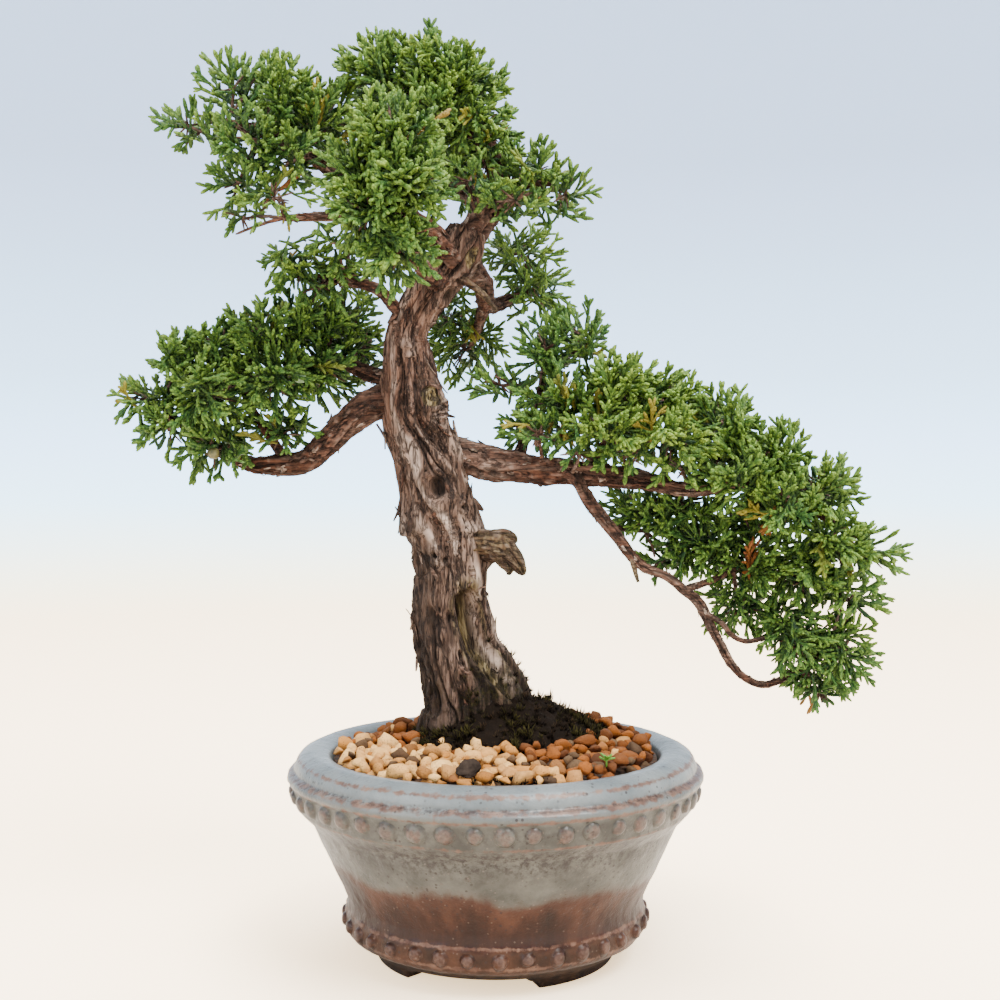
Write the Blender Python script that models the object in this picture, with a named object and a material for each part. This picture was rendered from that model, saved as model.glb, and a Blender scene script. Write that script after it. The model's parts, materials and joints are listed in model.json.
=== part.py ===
"""A juniper bonsai in a round glazed pot: every node is built from the sizes named here.

Lengths are millimetres until the last step. Z is up, the pot stands on Z = 0 and the
front of the tree looks along -Y.
"""

import math

import bmesh
import bpy
import numpy as np
from mathutils import Vector, noise
from mathutils.bvhtree import BVHTree

# Overall sizes
POT_RADIUS = 75.0  # at the widest ridge below the rim
POT_HEIGHT = 73.1
TREE_SCALE = 1.0  # everything that grows above the gravel
# Pot
RIM_INNER = 58.8
WALL = 5.6
FLOOR_UNDER = 6.5
FLOOR_TOP = 12.5
FOOT_HEIGHT = 5.2
DRAIN_RADIUS = 9.0
UPPER_STUDS = 47
LOWER_STUDS = 35
STUD_RADIUS = 2.2
# Wood and foliage
GIRTH = 1.0  # thickness of trunk and branches against their length
FULLNESS = 1.0  # size of the foliage pads against the branches
PLUMP = 2.5  # 2 makes oval pads, more makes them squarer
ROOTS = 6
# Fill of the pot
SOIL_BELOW_RIM = 7.0
GRAVEL_PROUD = 0.5  # gravel edge above the rim
GRAVEL_MOUND = 8.0
MOSS_RISE = 18.0
# Clearances
GAP = 0.3  # between pieces that rest against each other
WIRE = 0.6  # radius of the mesh clip's wire

POT_TURN = -11.65  # where the front opening between two feet points, degrees
SOIL_TOP = POT_HEIGHT - SOIL_BELOW_RIM
GROUND = POT_HEIGHT + 3.0  # level the tree is scaled from
FILL_RADIUS = RIM_INNER - GAP
DRAWN_GROUND = 76.1
TRUNK_FOOT = (-12.0 * TREE_SCALE, 18.0 * TREE_SCALE)

# x, y, z, radius along the trunk and each branch, at TREE_SCALE 1
TRUNK = (
    (-12.4, 18.0, 60.5, 15.0), (-12.2, 18.0, 67.9, 16.8), (-11.4, 17.0, 78.3, 16.6),
    (-10.6, 16.0, 87.9, 15.6), (-14.7, 15.0, 106.8, 14.6), (-16.9, 14.0, 125.5, 13.3),
    (-16.1, 13.0, 136.8, 12.6), (-17.2, 12.0, 148.0, 13.0), (-20.4, 11.0, 159.1, 13.4),
    (-23.0, 10.0, 170.2, 13.0), (-25.8, 9.0, 181.2, 12.8), (-30.2, 8.0, 192.2, 11.6),
    (-31.2, 7.0, 203.1, 11.8), (-31.5, 6.0, 210.3, 10.6), (-32.5, 5.0, 221.2, 8.4),
    (-30.2, 4.0, 228.3, 7.6), (-25.8, 3.0, 235.4, 7.8), (-20.7, 2.0, 242.5, 8.3),
    (-15.2, 1.0, 249.6, 8.8), (-12.0, 0.0, 255.9, 8.4), (-10.2, 0.0, 260.5, 7.0),
)
BRANCHES = {
    "root_flare": (
        (-8.0, 13.0, 110.8, 6.0), (-1.3, 13.0, 98.8, 6.5), (6.2, 14.0, 86.3, 6.5),
        (15.2, 16.0, 72.1, 5.5), (21.0, 18.0, 62.0, 4.0),
    ),
    "stub": (
        (-9.4, 10.0, 146.3, 5.0), (-2.7, 6.0, 146.1, 4.4), (2.1, 4.0, 146.6, 3.6),
        (5.7, 3.0, 142.7, 2.6), (9.3, 2.0, 136.5, 1.2),
    ),
    "crown": (
        (-10.9, 1.0, 255.5, 5.6), (-2.7, 8.0, 267.2, 4.6), (1.3, 12.0, 278.5, 3.6),
        (-2.7, 12.0, 291.3, 3.0), (-12.2, 10.0, 301.8, 2.4), (-23.0, 6.0, 307.3, 1.8),
        (-33.8, 5.0, 310.6, 1.2),
    ),
    "crown_right": (
        (1.0, 11.0, 276.5, 2.6), (9.8, 12.0, 278.9, 2.0), (20.7, 10.0, 279.2, 1.3),
    ),
    "crown_back": (
        (-2.7, 9.0, 267.4, 3.0), (-10.4, 26.0, 277.1, 2.4), (-23.4, 40.0, 285.4, 1.8),
        (-36.2, 46.0, 290.1, 1.2),
    ),
    "upper_left": (
        (-14.4, -3.0, 248.3, 4.2), (-23.7, -9.0, 258.7, 3.5), (-37.8, -9.0, 267.5, 2.9),
        (-53.2, -7.0, 276.7, 2.4), (-69.4, -5.0, 287.6, 2.0), (-85.3, -5.0, 294.7, 1.6),
        (-99.8, -5.0, 298.2, 1.1),
    ),
    "left_front": (
        (-37.1, -9.0, 267.2, 2.0), (-53.8, -18.0, 262.5, 1.5), (-72.1, -25.0, 260.3, 1.0),
    ),
    "link": (
        (-31.6, 3.0, 226.1, 2.2), (-41.3, -2.0, 237.7, 1.8), (-55.3, 2.0, 242.5, 1.4),
        (-70.9, 5.0, 244.3, 1.0),
    ),
    "front": (
        (-19.8, -3.0, 240.5, 3.4), (-25.5, -22.0, 245.0, 2.7), (-29.8, -40.0, 250.5, 2.2),
        (-31.2, -52.0, 257.6, 1.6), (-31.9, -56.0, 264.6, 1.1),
    ),
    "back_right": (
        (-10.2, 4.0, 249.3, 4.4), (-4.7, 20.0, 242.9, 3.5), (-3.3, 34.0, 237.0, 2.8),
        (2.5, 46.0, 239.0, 2.2), (12.4, 55.0, 244.8, 1.3),
    ),
    "back_low": (
        (-3.6, 31.0, 238.5, 2.5), (-6.1, 43.0, 231.3, 2.0), (-9.5, 56.0, 222.6, 1.3),
    ),
    "left": (
        (-33.1, 8.0, 198.8, 6.0), (-44.1, 9.0, 198.1, 5.6), (-55.3, 10.0, 190.4, 4.8),
        (-63.5, 11.0, 182.3, 4.3), (-72.2, 12.0, 176.5, 3.8), (-83.2, 12.0, 175.7, 3.1),
        (-94.3, 12.0, 177.6, 2.4), (-109.1, 9.0, 185.6, 1.7), (-121.3, 5.0, 197.2, 1.0),
    ),
    "left_mid": (
        (-76.6, 12.0, 176.1, 2.0), (-85.4, 10.0, 189.3, 1.5), (-93.5, 8.0, 203.9, 1.0),
    ),
    "left_upper": (
        (-34.1, 7.0, 205.3, 3.6), (-45.6, 13.0, 208.6, 2.8), (-56.1, 18.0, 214.1, 2.1),
        (-65.9, 22.0, 218.8, 1.2),
    ),
    "right": (
        (-20.4, 10.0, 180.5, 7.0), (-10.0, 9.0, 178.3, 6.2), (1.7, 6.0, 175.4, 5.4),
        (16.2, 2.0, 173.9, 4.7), (27.0, 0.0, 172.9, 4.4), (37.7, -2.0, 172.2, 3.8),
        (55.4, -4.0, 169.7, 2.9), (70.4, -5.0, 166.5, 2.3), (89.5, -4.0, 168.3, 1.8),
        (108.0, -1.0, 162.4, 1.4), (123.1, 0.0, 154.1, 1.0),
    ),
    "right_inner": (
        (7.2, 5.0, 175.0, 2.4), (12.1, 14.0, 188.7, 1.6), (16.7, 20.0, 204.5, 1.0),
    ),
    "right_top": (
        (34.1, -1.0, 172.5, 2.2), (40.5, 3.0, 184.8, 1.5), (47.2, 5.0, 197.6, 1.0),
    ),
    "right_mid": (
        (67.9, -5.0, 167.2, 1.9), (77.9, -2.0, 176.8, 1.4), (85.4, 0.0, 185.5, 1.0),
    ),
    "droop": (
        (23.4, 0.0, 174.0, 2.6), (28.6, -4.0, 171.1, 2.2), (33.8, -6.0, 162.9, 2.0),
        (43.0, -8.0, 150.9, 1.8), (51.9, -8.0, 140.2, 1.7), (60.8, -8.0, 136.3, 1.6),
        (67.6, -8.0, 131.3, 1.6), (72.6, -8.0, 125.9, 1.6), (80.5, -8.0, 112.0, 1.4),
        (84.3, -7.0, 104.7, 1.4), (88.7, -6.0, 100.2, 1.3), (95.2, -4.0, 97.0, 1.2),
        (102.4, -2.0, 97.8, 1.1), (112.6, 0.0, 103.7, 1.0), (120.5, 0.0, 110.6, 0.8),
    ),
    "droop_fork": (
        (74.0, -8.0, 123.4, 1.2), (80.7, -9.0, 119.6, 1.0), (84.3, -9.0, 115.3, 1.0),
        (89.2, -9.0, 113.2, 0.9), (96.0, -7.0, 114.0, 0.8),
    ),
    "hang_inner": (
        (38.4, -7.0, 156.1, 1.3), (46.8, 3.0, 152.5, 1.0), (55.3, 12.0, 151.3, 0.8),
    ),
    "hang_mid": (
        (67.6, -8.0, 131.3, 1.3), (79.8, 0.0, 134.9, 1.0), (93.5, 8.0, 140.1, 0.8),
    ),
    "dead_twig": (
        (48.0, -8.0, 144.5, 1.0), (49.3, -9.0, 139.2, 0.9), (50.7, -10.0, 134.3, 0.5),
    ),
}
# Hollow where bark has died back from the lower trunk: x, y, z, radius
HOLLOW = (
    (-8.5, -1.5, 131.5, 4.2), (-6.0, -1.5, 120.0, 5.2), (-3.0, 0.5, 108.0, 4.6),
    (1.5, 3.5, 97.0, 3.0),
)
# Foliage pads: centre, half sizes along x, y and z, lean in degrees
PADS = {
    "foliage_upper_left_tip": ((-99.8, -5.0, 298.2), (20.0, 32.0, 21.5), -10),
    "foliage_upper_left": ((-68.6, -5.0, 297.5), (20.0, 40.0, 21.5), 0),
    "foliage_apex": ((-33.3, 4.0, 309.7), (22.6, 42.0, 20.4), 0),
    "foliage_apex_right": ((-5.8, 8.0, 302.2), (20.0, 36.0, 20.0), 20),
    "foliage_crown_right": ((20.7, 10.0, 278.5), (18.4, 34.0, 18.0), 0),
    "foliage_crown_back": ((-36.6, 46.0, 290.1), (29.1, 28.0, 25.9), 0),
    "foliage_crown_front": ((-31.6, -56.0, 262.4), (16.7, 22.0, 29.6), 0),
    "foliage_left_front": ((-72.8, -25.0, 260.9), (19.9, 30.0, 14.4), 10),
    "foliage_link": ((-70.3, 5.0, 244.3), (15.0, 24.0, 14.0), 0),
    "foliage_back_right": ((12.9, 56.0, 246.1), (22.0, 30.0, 24.0), 0),
    "foliage_back_low": ((-9.5, 58.0, 221.6), (18.5, 22.0, 16.9), 0),
    "foliage_left_tip": ((-121.0, 5.0, 199.7), (18.6, 27.0, 24.0), 0),
    "foliage_left_mid": ((-93.4, 8.0, 204.6), (20.5, 38.0, 30.8), 0),
    "foliage_left_inner": ((-65.1, 22.0, 214.8), (21.0, 34.0, 26.0), 0),
    "foliage_right_inner": ((16.7, 20.0, 206.0), (22.5, 32.0, 23.2), 0),
    "foliage_right_top": ((47.6, 5.0, 198.7), (21.9, 42.0, 24.1), 0),
    "foliage_right_mid": ((85.4, 0.0, 184.8), (22.4, 42.0, 23.1), 0),
    "foliage_right_tip": ((123.8, 0.0, 154.1), (23.8, 36.0, 30.3), -20),
    "foliage_hanging_tip": ((121.2, 0.0, 111.7), (17.3, 26.0, 23.8), 0),
    "foliage_hanging_mid": ((92.5, 8.0, 139.1), (21.0, 28.0, 28.0), 0),
    "foliage_hanging_inner": ((57.3, 12.0, 150.9), (22.0, 22.0, 19.2), 0),
}
# Berries: the pad each one grows on, the way it faces from the pad's centre, radius
BERRIES = {
    "berry_pale": ("foliage_left_inner", (-6.0, -34.0, -10.0), 2.3),
    "berry_ripe": ("foliage_left_mid", (-8.0, -20.0, -30.0), 2.2),
}
# Outside of the pot from the foot up, as radius and height on the drawn pot
DRAWN_RADIUS, DRAWN_HEIGHT = 75.0, 73.1
OUTSIDE = (
    (42.7, 0.0), (44.6, 3.5), (50.0, 7.4), (53.2, 9.2), (54.3, 11.5), (54.3, 16.5),
    (53.5, 18.4), (53.5, 21.8), (55.6, 27.0), (59.4, 34.6), (63.4, 43.5), (64.9, 46.9),
    (66.0, 49.6), (69.6, 53.1), (70.9, 54.8), (72.0, 57.5), (73.3, 63.0), (74.6, 63.9),
    (75.0, 65.2), (74.2, 66.8), (72.6, 67.6), (71.3, 71.2), (69.9, 72.6), (68.4, 73.1),
)
LOOKS = {
    "pot": ("glazed_clay", (0.22, 0.24, 0.27), 0.22),
    "drain_mesh": ("mesh_plastic", (0.03, 0.035, 0.03), 0.6),
    "mesh_clip": ("clip_wire", (0.42, 0.27, 0.16), 0.35),
    "soil": ("soil", (0.05, 0.035, 0.025), 0.95),
    "top_dressing": ("gravel", (0.62, 0.42, 0.27), 0.9),
    "moss_mound": ("moss", (0.045, 0.04, 0.022), 0.95),
    "trunk_and_branches": ("bark", (0.23, 0.13, 0.09), 0.85),
    "slate_chip": ("slate", (0.09, 0.085, 0.09), 0.7),
    "seedling": ("seedling_leaf", (0.18, 0.42, 0.08), 0.6),
    "berry_pale": ("berry_green", (0.3, 0.42, 0.24), 0.5),
    "berry_ripe": ("berry_brown", (0.2, 0.19, 0.07), 0.5),
}
FOLIAGE_LOOK = ("foliage", (0.08, 0.2, 0.05), 0.65)


# ---------------------------------------------------------------- shared helpers
def clear_scene():
    for obj in list(bpy.data.objects):
        bpy.data.objects.remove(obj)


def solid(name, points, faces):
    """A closed body from points in millimetres, its faces turned outwards."""
    mesh = bpy.data.meshes.new(name)
    mesh.from_pydata([tuple(map(float, p)) for p in points], [], faces)
    shape = bmesh.new()
    shape.from_mesh(mesh)
    bmesh.ops.triangulate(shape, faces=shape.faces)
    bmesh.ops.recalc_face_normals(shape, faces=shape.faces)
    shape.to_mesh(mesh)
    shape.free()
    obj = bpy.data.objects.new(name, mesh)
    bpy.context.collection.objects.link(obj)
    return obj


def boolean(target, tool, operation):
    """Joins or cuts target with tool, and removes the tool."""
    step = target.modifiers.new(operation, "BOOLEAN")
    step.object, step.operation, step.solver = tool, operation, "EXACT"
    bpy.context.view_layer.update()
    graph = bpy.context.evaluated_depsgraph_get()
    mesh = bpy.data.meshes.new_from_object(target.evaluated_get(graph))
    target.modifiers.clear()
    target.data = mesh
    bpy.data.objects.remove(tool)


def keep_largest(obj):
    """Drops crumbs that a cut leaves beside the main body."""
    shape = bmesh.new()
    shape.from_mesh(obj.data)
    bmesh.ops.triangulate(shape, faces=shape.faces)
    left, bodies = set(shape.verts), []
    while left:
        body, edge = set(), [left.pop()]
        while edge:
            vert = edge.pop()
            body.add(vert)
            near = {e.other_vert(vert) for e in vert.link_edges} & left
            left -= near
            edge.extend(near)
        bodies.append(body)
    bodies.sort(key=len)
    for body in bodies[:-1]:
        bmesh.ops.delete(shape, geom=list(body), context="VERTS")
    shape.to_mesh(obj.data)
    shape.free()


def join(name, shapes):
    """Several bodies in one object, for a cut or a union made in one go."""
    points, faces = [], []
    for obj in shapes:
        base = len(points)
        points += [tuple(v.co) for v in obj.data.vertices]
        faces += [[base + i for i in p.vertices] for p in obj.data.polygons]
        bpy.data.objects.remove(obj)
    return solid(name, points, faces)


def rings_to_faces(count, sides, closed_loop):
    faces = []
    for i in range(count if closed_loop else count - 1):
        a, b = i * sides, (i + 1) % count * sides
        for j in range(sides):
            k = (j + 1) % sides
            faces.append((a + j, a + k, b + k, b + j))
    return faces


def lathe(name, profile, sides, closed_loop=False):
    """Turns radius and height pairs about Z; an open profile starts and ends on the axis."""
    inner = profile if closed_loop else profile[1:-1]
    points = []
    for radius, height in inner:
        for j in range(sides):
            turn = 2 * math.pi * j / sides
            points.append((radius * math.cos(turn), radius * math.sin(turn), height))
    faces = rings_to_faces(len(inner), sides, closed_loop)
    if not closed_loop:
        last = (len(inner) - 1) * sides
        points += [(0, 0, profile[0][1]), (0, 0, profile[-1][1])]
        low, high = len(points) - 2, len(points) - 1
        for j in range(sides):
            k = (j + 1) % sides
            faces += [(low, j, k), (high, last + k, last + j)]
    return solid(name, points, faces)


def frames(path):
    """A side direction at each point of a path, carried along without twist."""
    path = [Vector(p) for p in path]
    sides, side = [], None
    for i, here in enumerate(path):
        ahead = path[min(i + 1, len(path) - 1)] - path[max(i - 1, 0)]
        ahead.normalize()
        if side is None:
            side = ahead.orthogonal()
        side = (side - ahead * side.dot(ahead)).normalized()
        sides.append((here, ahead, side.copy(), ahead.cross(side)))
    return sides


def tube(name, stations, sides, extra=0.0, lumps=0.0):
    """A closed tapering tube through x, y, z, radius stations, with pointed-round ends."""
    points, seats = [], frames([s[:3] for s in stations])
    for (here, ahead, side, across), station in zip(seats, stations):
        for j in range(sides):
            turn = 2 * math.pi * j / sides
            way = side * math.cos(turn) + across * math.sin(turn)
            radius = station[3] * (1 + lumps * noise.noise(here * 0.07 + way * 1.3)) + extra
            points.append(here + way * radius)
    faces = rings_to_faces(len(stations), sides, False)
    for end, sign in ((0, -1), (len(stations) - 1, 1)):
        here, ahead = seats[end][0], seats[end][1]
        points.append(here + ahead * sign * (0.6 * stations[end][3] + extra))
        ring = end * sides
        faces += [(len(points) - 1, ring + j, ring + (j + 1) % sides) for j in range(sides)]
    return solid(name, points, faces)


# ---------------------------------------------------------------- pot
def outside():
    wide, tall = POT_RADIUS / DRAWN_RADIUS, POT_HEIGHT / DRAWN_HEIGHT
    return [(r * wide, z * tall) for r, z in OUTSIDE]


def outside_radius(height):
    line = outside()
    return float(np.interp(height, [z for _, z in line], [r for r, _ in line]))


def inside():
    """The hollow from the rim down to the floor, one wall thickness in from the outside."""
    low = FLOOR_TOP
    down = [SOIL_TOP - 4, 0.74 * POT_HEIGHT, 0.57 * POT_HEIGHT, 0.36 * POT_HEIGHT]
    down += [0.27 * POT_HEIGHT, low + 1.2]
    line = [(RIM_INNER + 1.0, POT_HEIGHT), (RIM_INNER, POT_HEIGHT - 1.0)]
    line += [(RIM_INNER, SOIL_TOP + 2.0)]
    line += [(outside_radius(z) - WALL * 1.15, z) for z in down]
    line.append((line[-1][0] - 3.5, low))
    return line


def sector(name, middle, half, radius, low, high):
    """A wedge about Z for the opening between two feet."""
    turns = [math.radians(middle + half * t / 5) for t in range(-5, 6)]
    flat = [(18.0, turns[0]), (18.0, turns[-1])][::-1]
    flat = [(radius, t) for t in turns] + flat
    points = [(r * math.sin(t), -r * math.cos(t), z) for z in (low, high) for r, t in flat]
    count = len(flat)
    faces = [tuple(range(count)), tuple(range(count, 2 * count))]
    for j in range(count):
        k = (j + 1) % count
        faces.append((j, k, count + k, count + j))
    return solid(name, points, faces)


def stud(turn, radius, height, tilt):
    """One domed nail head; tilt is how far its face leans down."""
    out = Vector((math.sin(turn) * math.cos(tilt), -math.cos(turn) * math.cos(tilt), -math.sin(tilt)))
    seat = Vector((radius * math.sin(turn), -radius * math.cos(turn), height))
    side = Vector((math.cos(turn), math.sin(turn), 0))
    up = out.cross(side)
    points = []
    for ring, lift in ((0.9, -0.9), (1.0, 0.5), (0.62, 1.4)):
        for j in range(6):
            a = math.pi * (2 * j + 1) / 6
            points.append(seat + out * lift + (side * math.cos(a) + up * math.sin(a)) * ring * STUD_RADIUS)
    faces = rings_to_faces(3, 6, False)
    faces += [(0, 1, 2, 3, 4, 5), (12, 13, 14, 15, 16, 17)]
    return solid("stud", points, faces)


def studs():
    tall = POT_HEIGHT / DRAWN_HEIGHT
    upper, lower = 59.8 * tall, 13.6 * tall
    lean = math.atan2(outside_radius(upper + 1.5) - outside_radius(upper - 1.5), 3.0)
    shapes = []
    for i in range(UPPER_STUDS):
        turn = 2 * math.pi * (i + 0.3) / UPPER_STUDS
        shapes.append(stud(turn, outside_radius(upper), upper, lean))
    for i in range(LOWER_STUDS):
        turn = 2 * math.pi * (i + 0.15) / LOWER_STUDS
        shapes.append(stud(turn, outside_radius(lower), lower, 0.0))
    return join("studs", shapes)


def make_pot():
    foot_in = outside_radius(0) - 6.0
    under = [
        (DRAIN_RADIUS, FLOOR_TOP), (DRAIN_RADIUS, FLOOR_UNDER),
        (foot_in - 0.8, FLOOR_UNDER), (foot_in, 0.0),
    ]
    pot = lathe("pot", outside() + inside() + under, 48, closed_loop=True)
    boolean(pot, studs(), "UNION")
    gaps = []
    for i in range(3):
        gaps.append(sector("gap", POT_TURN + 120 * i, 32.3, POT_RADIUS, -2.0, FOOT_HEIGHT))
    boolean(pot, join("gaps", gaps), "DIFFERENCE")
    return pot


def make_drainage():
    """The screen over the drain hole and the bent wire that holds it there."""
    low, high = FLOOR_TOP + GAP, FLOOR_TOP + GAP + 1.0
    reach = DRAIN_RADIUS + 6.0
    screen = lathe("drain_mesh", [(0, low), (reach, low), (reach, high), (0, high)], 32)
    pitch, half = 4.2, 1.5
    holes = []
    for i in range(-3, 4):
        for j in range(-3, 4):
            x, y = i * pitch, j * pitch
            if math.hypot(x, y) + 2.6 < reach:
                holes.append(box("hole", (x - half, y - half, low - 1), (x + half, y + half, high + 1)))
    boolean(screen, join("holes", holes), "DIFFERENCE")
    top, under = high + GAP + WIRE, FLOOR_UNDER - GAP - WIRE
    bend, reach = 0.7, DRAIN_RADIUS + 7.0
    half_path = [(pitch - bend, 0, top), (pitch, 0, top - bend), (pitch, 0, under + bend)]
    half_path += [(pitch + bend, 0, under), (reach, 0, under)]
    path = [(-x, y, z, WIRE) for x, y, z in half_path[::-1]]
    path += [(x, y, z, WIRE) for x, y, z in half_path]
    return screen, tube("mesh_clip", path, 8)


def box(name, low, high):
    xs, ys, zs = zip(low, high)
    points = [(x, y, z) for x in xs for y in ys for z in zs]
    faces = [(0, 1, 3, 2), (4, 6, 7, 5), (0, 4, 5, 1), (2, 3, 7, 6), (0, 2, 6, 4), (1, 5, 7, 3)]
    return solid(name, points, faces)


# ---------------------------------------------------------------- fill of the pot
def moss_edge(turn, wider=0.0):
    """Where the mossy mound round the foot of the trunk ends."""
    lobes = 1 + 0.05 * math.sin(3 * turn + 1) + 0.03 * math.sin(5 * turn)
    across, deep = 38.0 * TREE_SCALE * lobes, 27.0 * TREE_SCALE * lobes
    middle = (TRUNK_FOOT[0] + 16.0 * TREE_SCALE, TRUNK_FOOT[1] - 4.0 * TREE_SCALE)
    x = middle[0] + (across + wider) * math.cos(turn)
    y = middle[1] + (deep + wider) * math.sin(turn)
    reach = math.hypot(x, y)
    most = FILL_RADIUS - 3.0 + wider
    return (x, y) if reach <= most else (x * most / reach, y * most / reach)


def gravel_top(x, y):
    away = math.hypot(x - 10.0, y - 26.0)
    return POT_HEIGHT + GRAVEL_PROUD + GRAVEL_MOUND * math.exp(-((away / 32.0) ** 2))


def make_soil():
    over_mesh = FLOOR_TOP + 2 * GAP + 1.0
    over_clip = over_mesh + 2 * WIRE + GAP
    reach = DRAIN_RADIUS + 6.0 + GAP
    clip = 4.2 + 1.4
    profile = [(0, over_clip), (clip, over_clip), (clip + 0.3, over_mesh), (reach, over_mesh)]
    profile += [(reach + 0.3, FLOOR_TOP + GAP)]
    wall = [(r - GAP * 1.3, z + (GAP if z == FLOOR_TOP else 0)) for r, z in inside()[3:]][::-1]
    profile += wall + [(RIM_INNER - GAP, SOIL_TOP), (0, SOIL_TOP)]
    return lathe("soil", profile, 40)


def ring_bed(name, inner_edge, outer_edge, top, low, sides, steps):
    """A bed between two outlines, flat below and shaped above."""
    points = []
    for j in range(sides):
        turn = 2 * math.pi * j / sides
        (xa, ya), (xb, yb) = inner_edge(turn), outer_edge(turn)
        row = [(xa + (xb - xa) * t / steps, ya + (yb - ya) * t / steps) for t in range(steps + 1)]
        points += [(xa, ya, low)] + [(x, y, top(x, y)) for x, y in row] + [(xb, yb, low)]
    wide = steps + 3
    return solid(name, points, rings_to_faces(sides, wide, True))


def make_gravel():
    def outer(turn):
        return FILL_RADIUS * math.cos(turn), FILL_RADIUS * math.sin(turn)

    def lumpy(x, y):
        return gravel_top(x, y) + 0.9 * noise.noise(Vector((x, y, 3.0)) * 0.16)

    return ring_bed(
        "top_dressing", lambda t: moss_edge(t, GAP), outer, lumpy, SOIL_TOP + GAP, 48, 4
    )


def make_moss():
    sides, steps, low = 28, 5, SOIL_TOP + GAP
    middle = moss_edge(0.0)[0] - 38.0 * TREE_SCALE, TRUNK_FOOT[1] - 4.0 * TREE_SCALE
    points = []
    for level in range(1, steps + 1):
        for j in range(sides):
            x, y = moss_edge(2 * math.pi * j / sides)
            t = level / steps
            x, y = middle[0] + (x - middle[0]) * t, middle[1] + (y - middle[1]) * t
            lump = 1.2 * noise.noise(Vector((x, y, 8.0)) * 0.15) * (1 - t)
            points.append((x, y, POT_HEIGHT + 1.0 + MOSS_RISE * TREE_SCALE * (1 - t * t) + lump))
    points += [(p[0], p[1], low) for p in points[-sides:]]
    faces = rings_to_faces(steps + 1, sides, False)
    points += [(*middle, POT_HEIGHT + 1.0 + MOSS_RISE * TREE_SCALE), (*middle, low)]
    top, under = len(points) - 2, len(points) - 1
    for j in range(sides):
        k = (j + 1) % sides
        faces += [(top, j, k), (under, steps * sides + k, steps * sides + j)]
    return solid("moss_mound", points, faces)


# ---------------------------------------------------------------- wood
def grown(station):
    x, y, z, radius = station
    z = GROUND + (z - DRAWN_GROUND) * TREE_SCALE
    return x * TREE_SCALE, y * TREE_SCALE, z, radius * TREE_SCALE * GIRTH


def roots():
    """Main roots spreading from the trunk foot down into the soil."""
    paths = []
    for i in range(ROOTS):
        turn = 2 * math.pi * (i + 0.4) / ROOTS
        start = Vector((*TRUNK_FOOT, SOIL_TOP - 1.0))
        end = Vector((0.58 * RIM_INNER * math.cos(turn), 0.58 * RIM_INNER * math.sin(turn), 0.45 * POT_HEIGHT))
        path = []
        for t, radius in ((0.0, 5.0), (0.4, 3.6), (0.75, 2.4), (1.0, 1.3)):
            point = start.lerp(end, t)
            point.z += 5.0 * math.sin(math.pi * t) - 1.0
            path.append((*point, radius * GIRTH))
        paths.append(path)
    return paths


def make_wood(name, extra):
    """Trunk, roots and branches as one body; extra makes the cutter that leaves room."""
    wood = tube(name, [grown(s) for s in TRUNK], 14, extra, 0.12)
    limbs = [tube("limb", path, 6, extra) for path in roots()]
    for stations in BRANCHES.values():
        path = [grown(s) for s in stations]
        limbs.append(tube("limb", path, 8 if path[0][3] > 3.9 else 6, extra, 0.1))
    for limb in limbs:
        boolean(wood, limb, "UNION")
    return wood


def make_hollow():
    return tube("hollow", [grown(s) for s in HOLLOW], 8)


# ---------------------------------------------------------------- foliage
def lean_matrix(degrees):
    turn = math.radians(degrees)
    return np.array(
        [[math.cos(turn), 0, math.sin(turn)], [0, 1, 0], [-math.sin(turn), 0, math.cos(turn)]]
    )


def pad_seat(name):
    centre, half, lean = PADS[name]
    x, y, z, _ = grown((*centre, 0.0))
    half = np.array(half) * TREE_SCALE * FULLNESS
    return np.array([x, y, z]), half, lean_matrix(lean)


def pad_reach(name, way):
    """From a pad's centre to its skin: a lumpy oval, kept on its own side of its neighbours."""
    centre, half, lean = pad_seat(name)
    way = np.array(way, float) / np.linalg.norm(way)
    local = lean.T @ way
    reach = 1 / (np.abs(local / half) ** PLUMP).sum() ** (1 / PLUMP)
    seed = Vector((sum(map(ord, name)) * 0.37, 0, 0))
    reach *= 0.97 + 0.22 * noise.noise(Vector(local) * 1.9 + seed)
    if way[2] < 0:
        reach *= 1 + 0.12 * way[2]
    for other in PADS:
        if other != name:
            there, spread, turn = pad_seat(other)
            between = there - centre
            apart = np.linalg.norm(between)
            between = between / apart
            own = np.linalg.norm(half * (lean.T @ between))
            its = np.linalg.norm(spread * (turn.T @ between))
            facing = float(way @ between)
            if facing > 1e-6:
                reach = min(reach, (apart * own / (own + its) - GAP / 2) / facing)
    return reach


def make_pad(name):
    centre = pad_seat(name)[0]
    sides, rings = 12, 7
    points = []
    for i in range(1, rings + 1):
        drop = math.pi * i / (rings + 1)
        for j in range(sides):
            turn = 2 * math.pi * (j + 0.5 * (i % 2)) / sides
            way = (math.sin(drop) * math.cos(turn), math.sin(drop) * math.sin(turn), math.cos(drop))
            points.append(centre + np.array(way) * pad_reach(name, way))
    faces = rings_to_faces(rings, sides, False)
    for way, first in (((0, 0, 1), 0), ((0, 0, -1), (rings - 1) * sides)):
        points.append(centre + np.array(way) * pad_reach(name, way))
        tip = len(points) - 1
        faces += [(tip, first + j, first + (j + 1) % sides) for j in range(sides)]
    return solid(name, points, faces)


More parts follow.
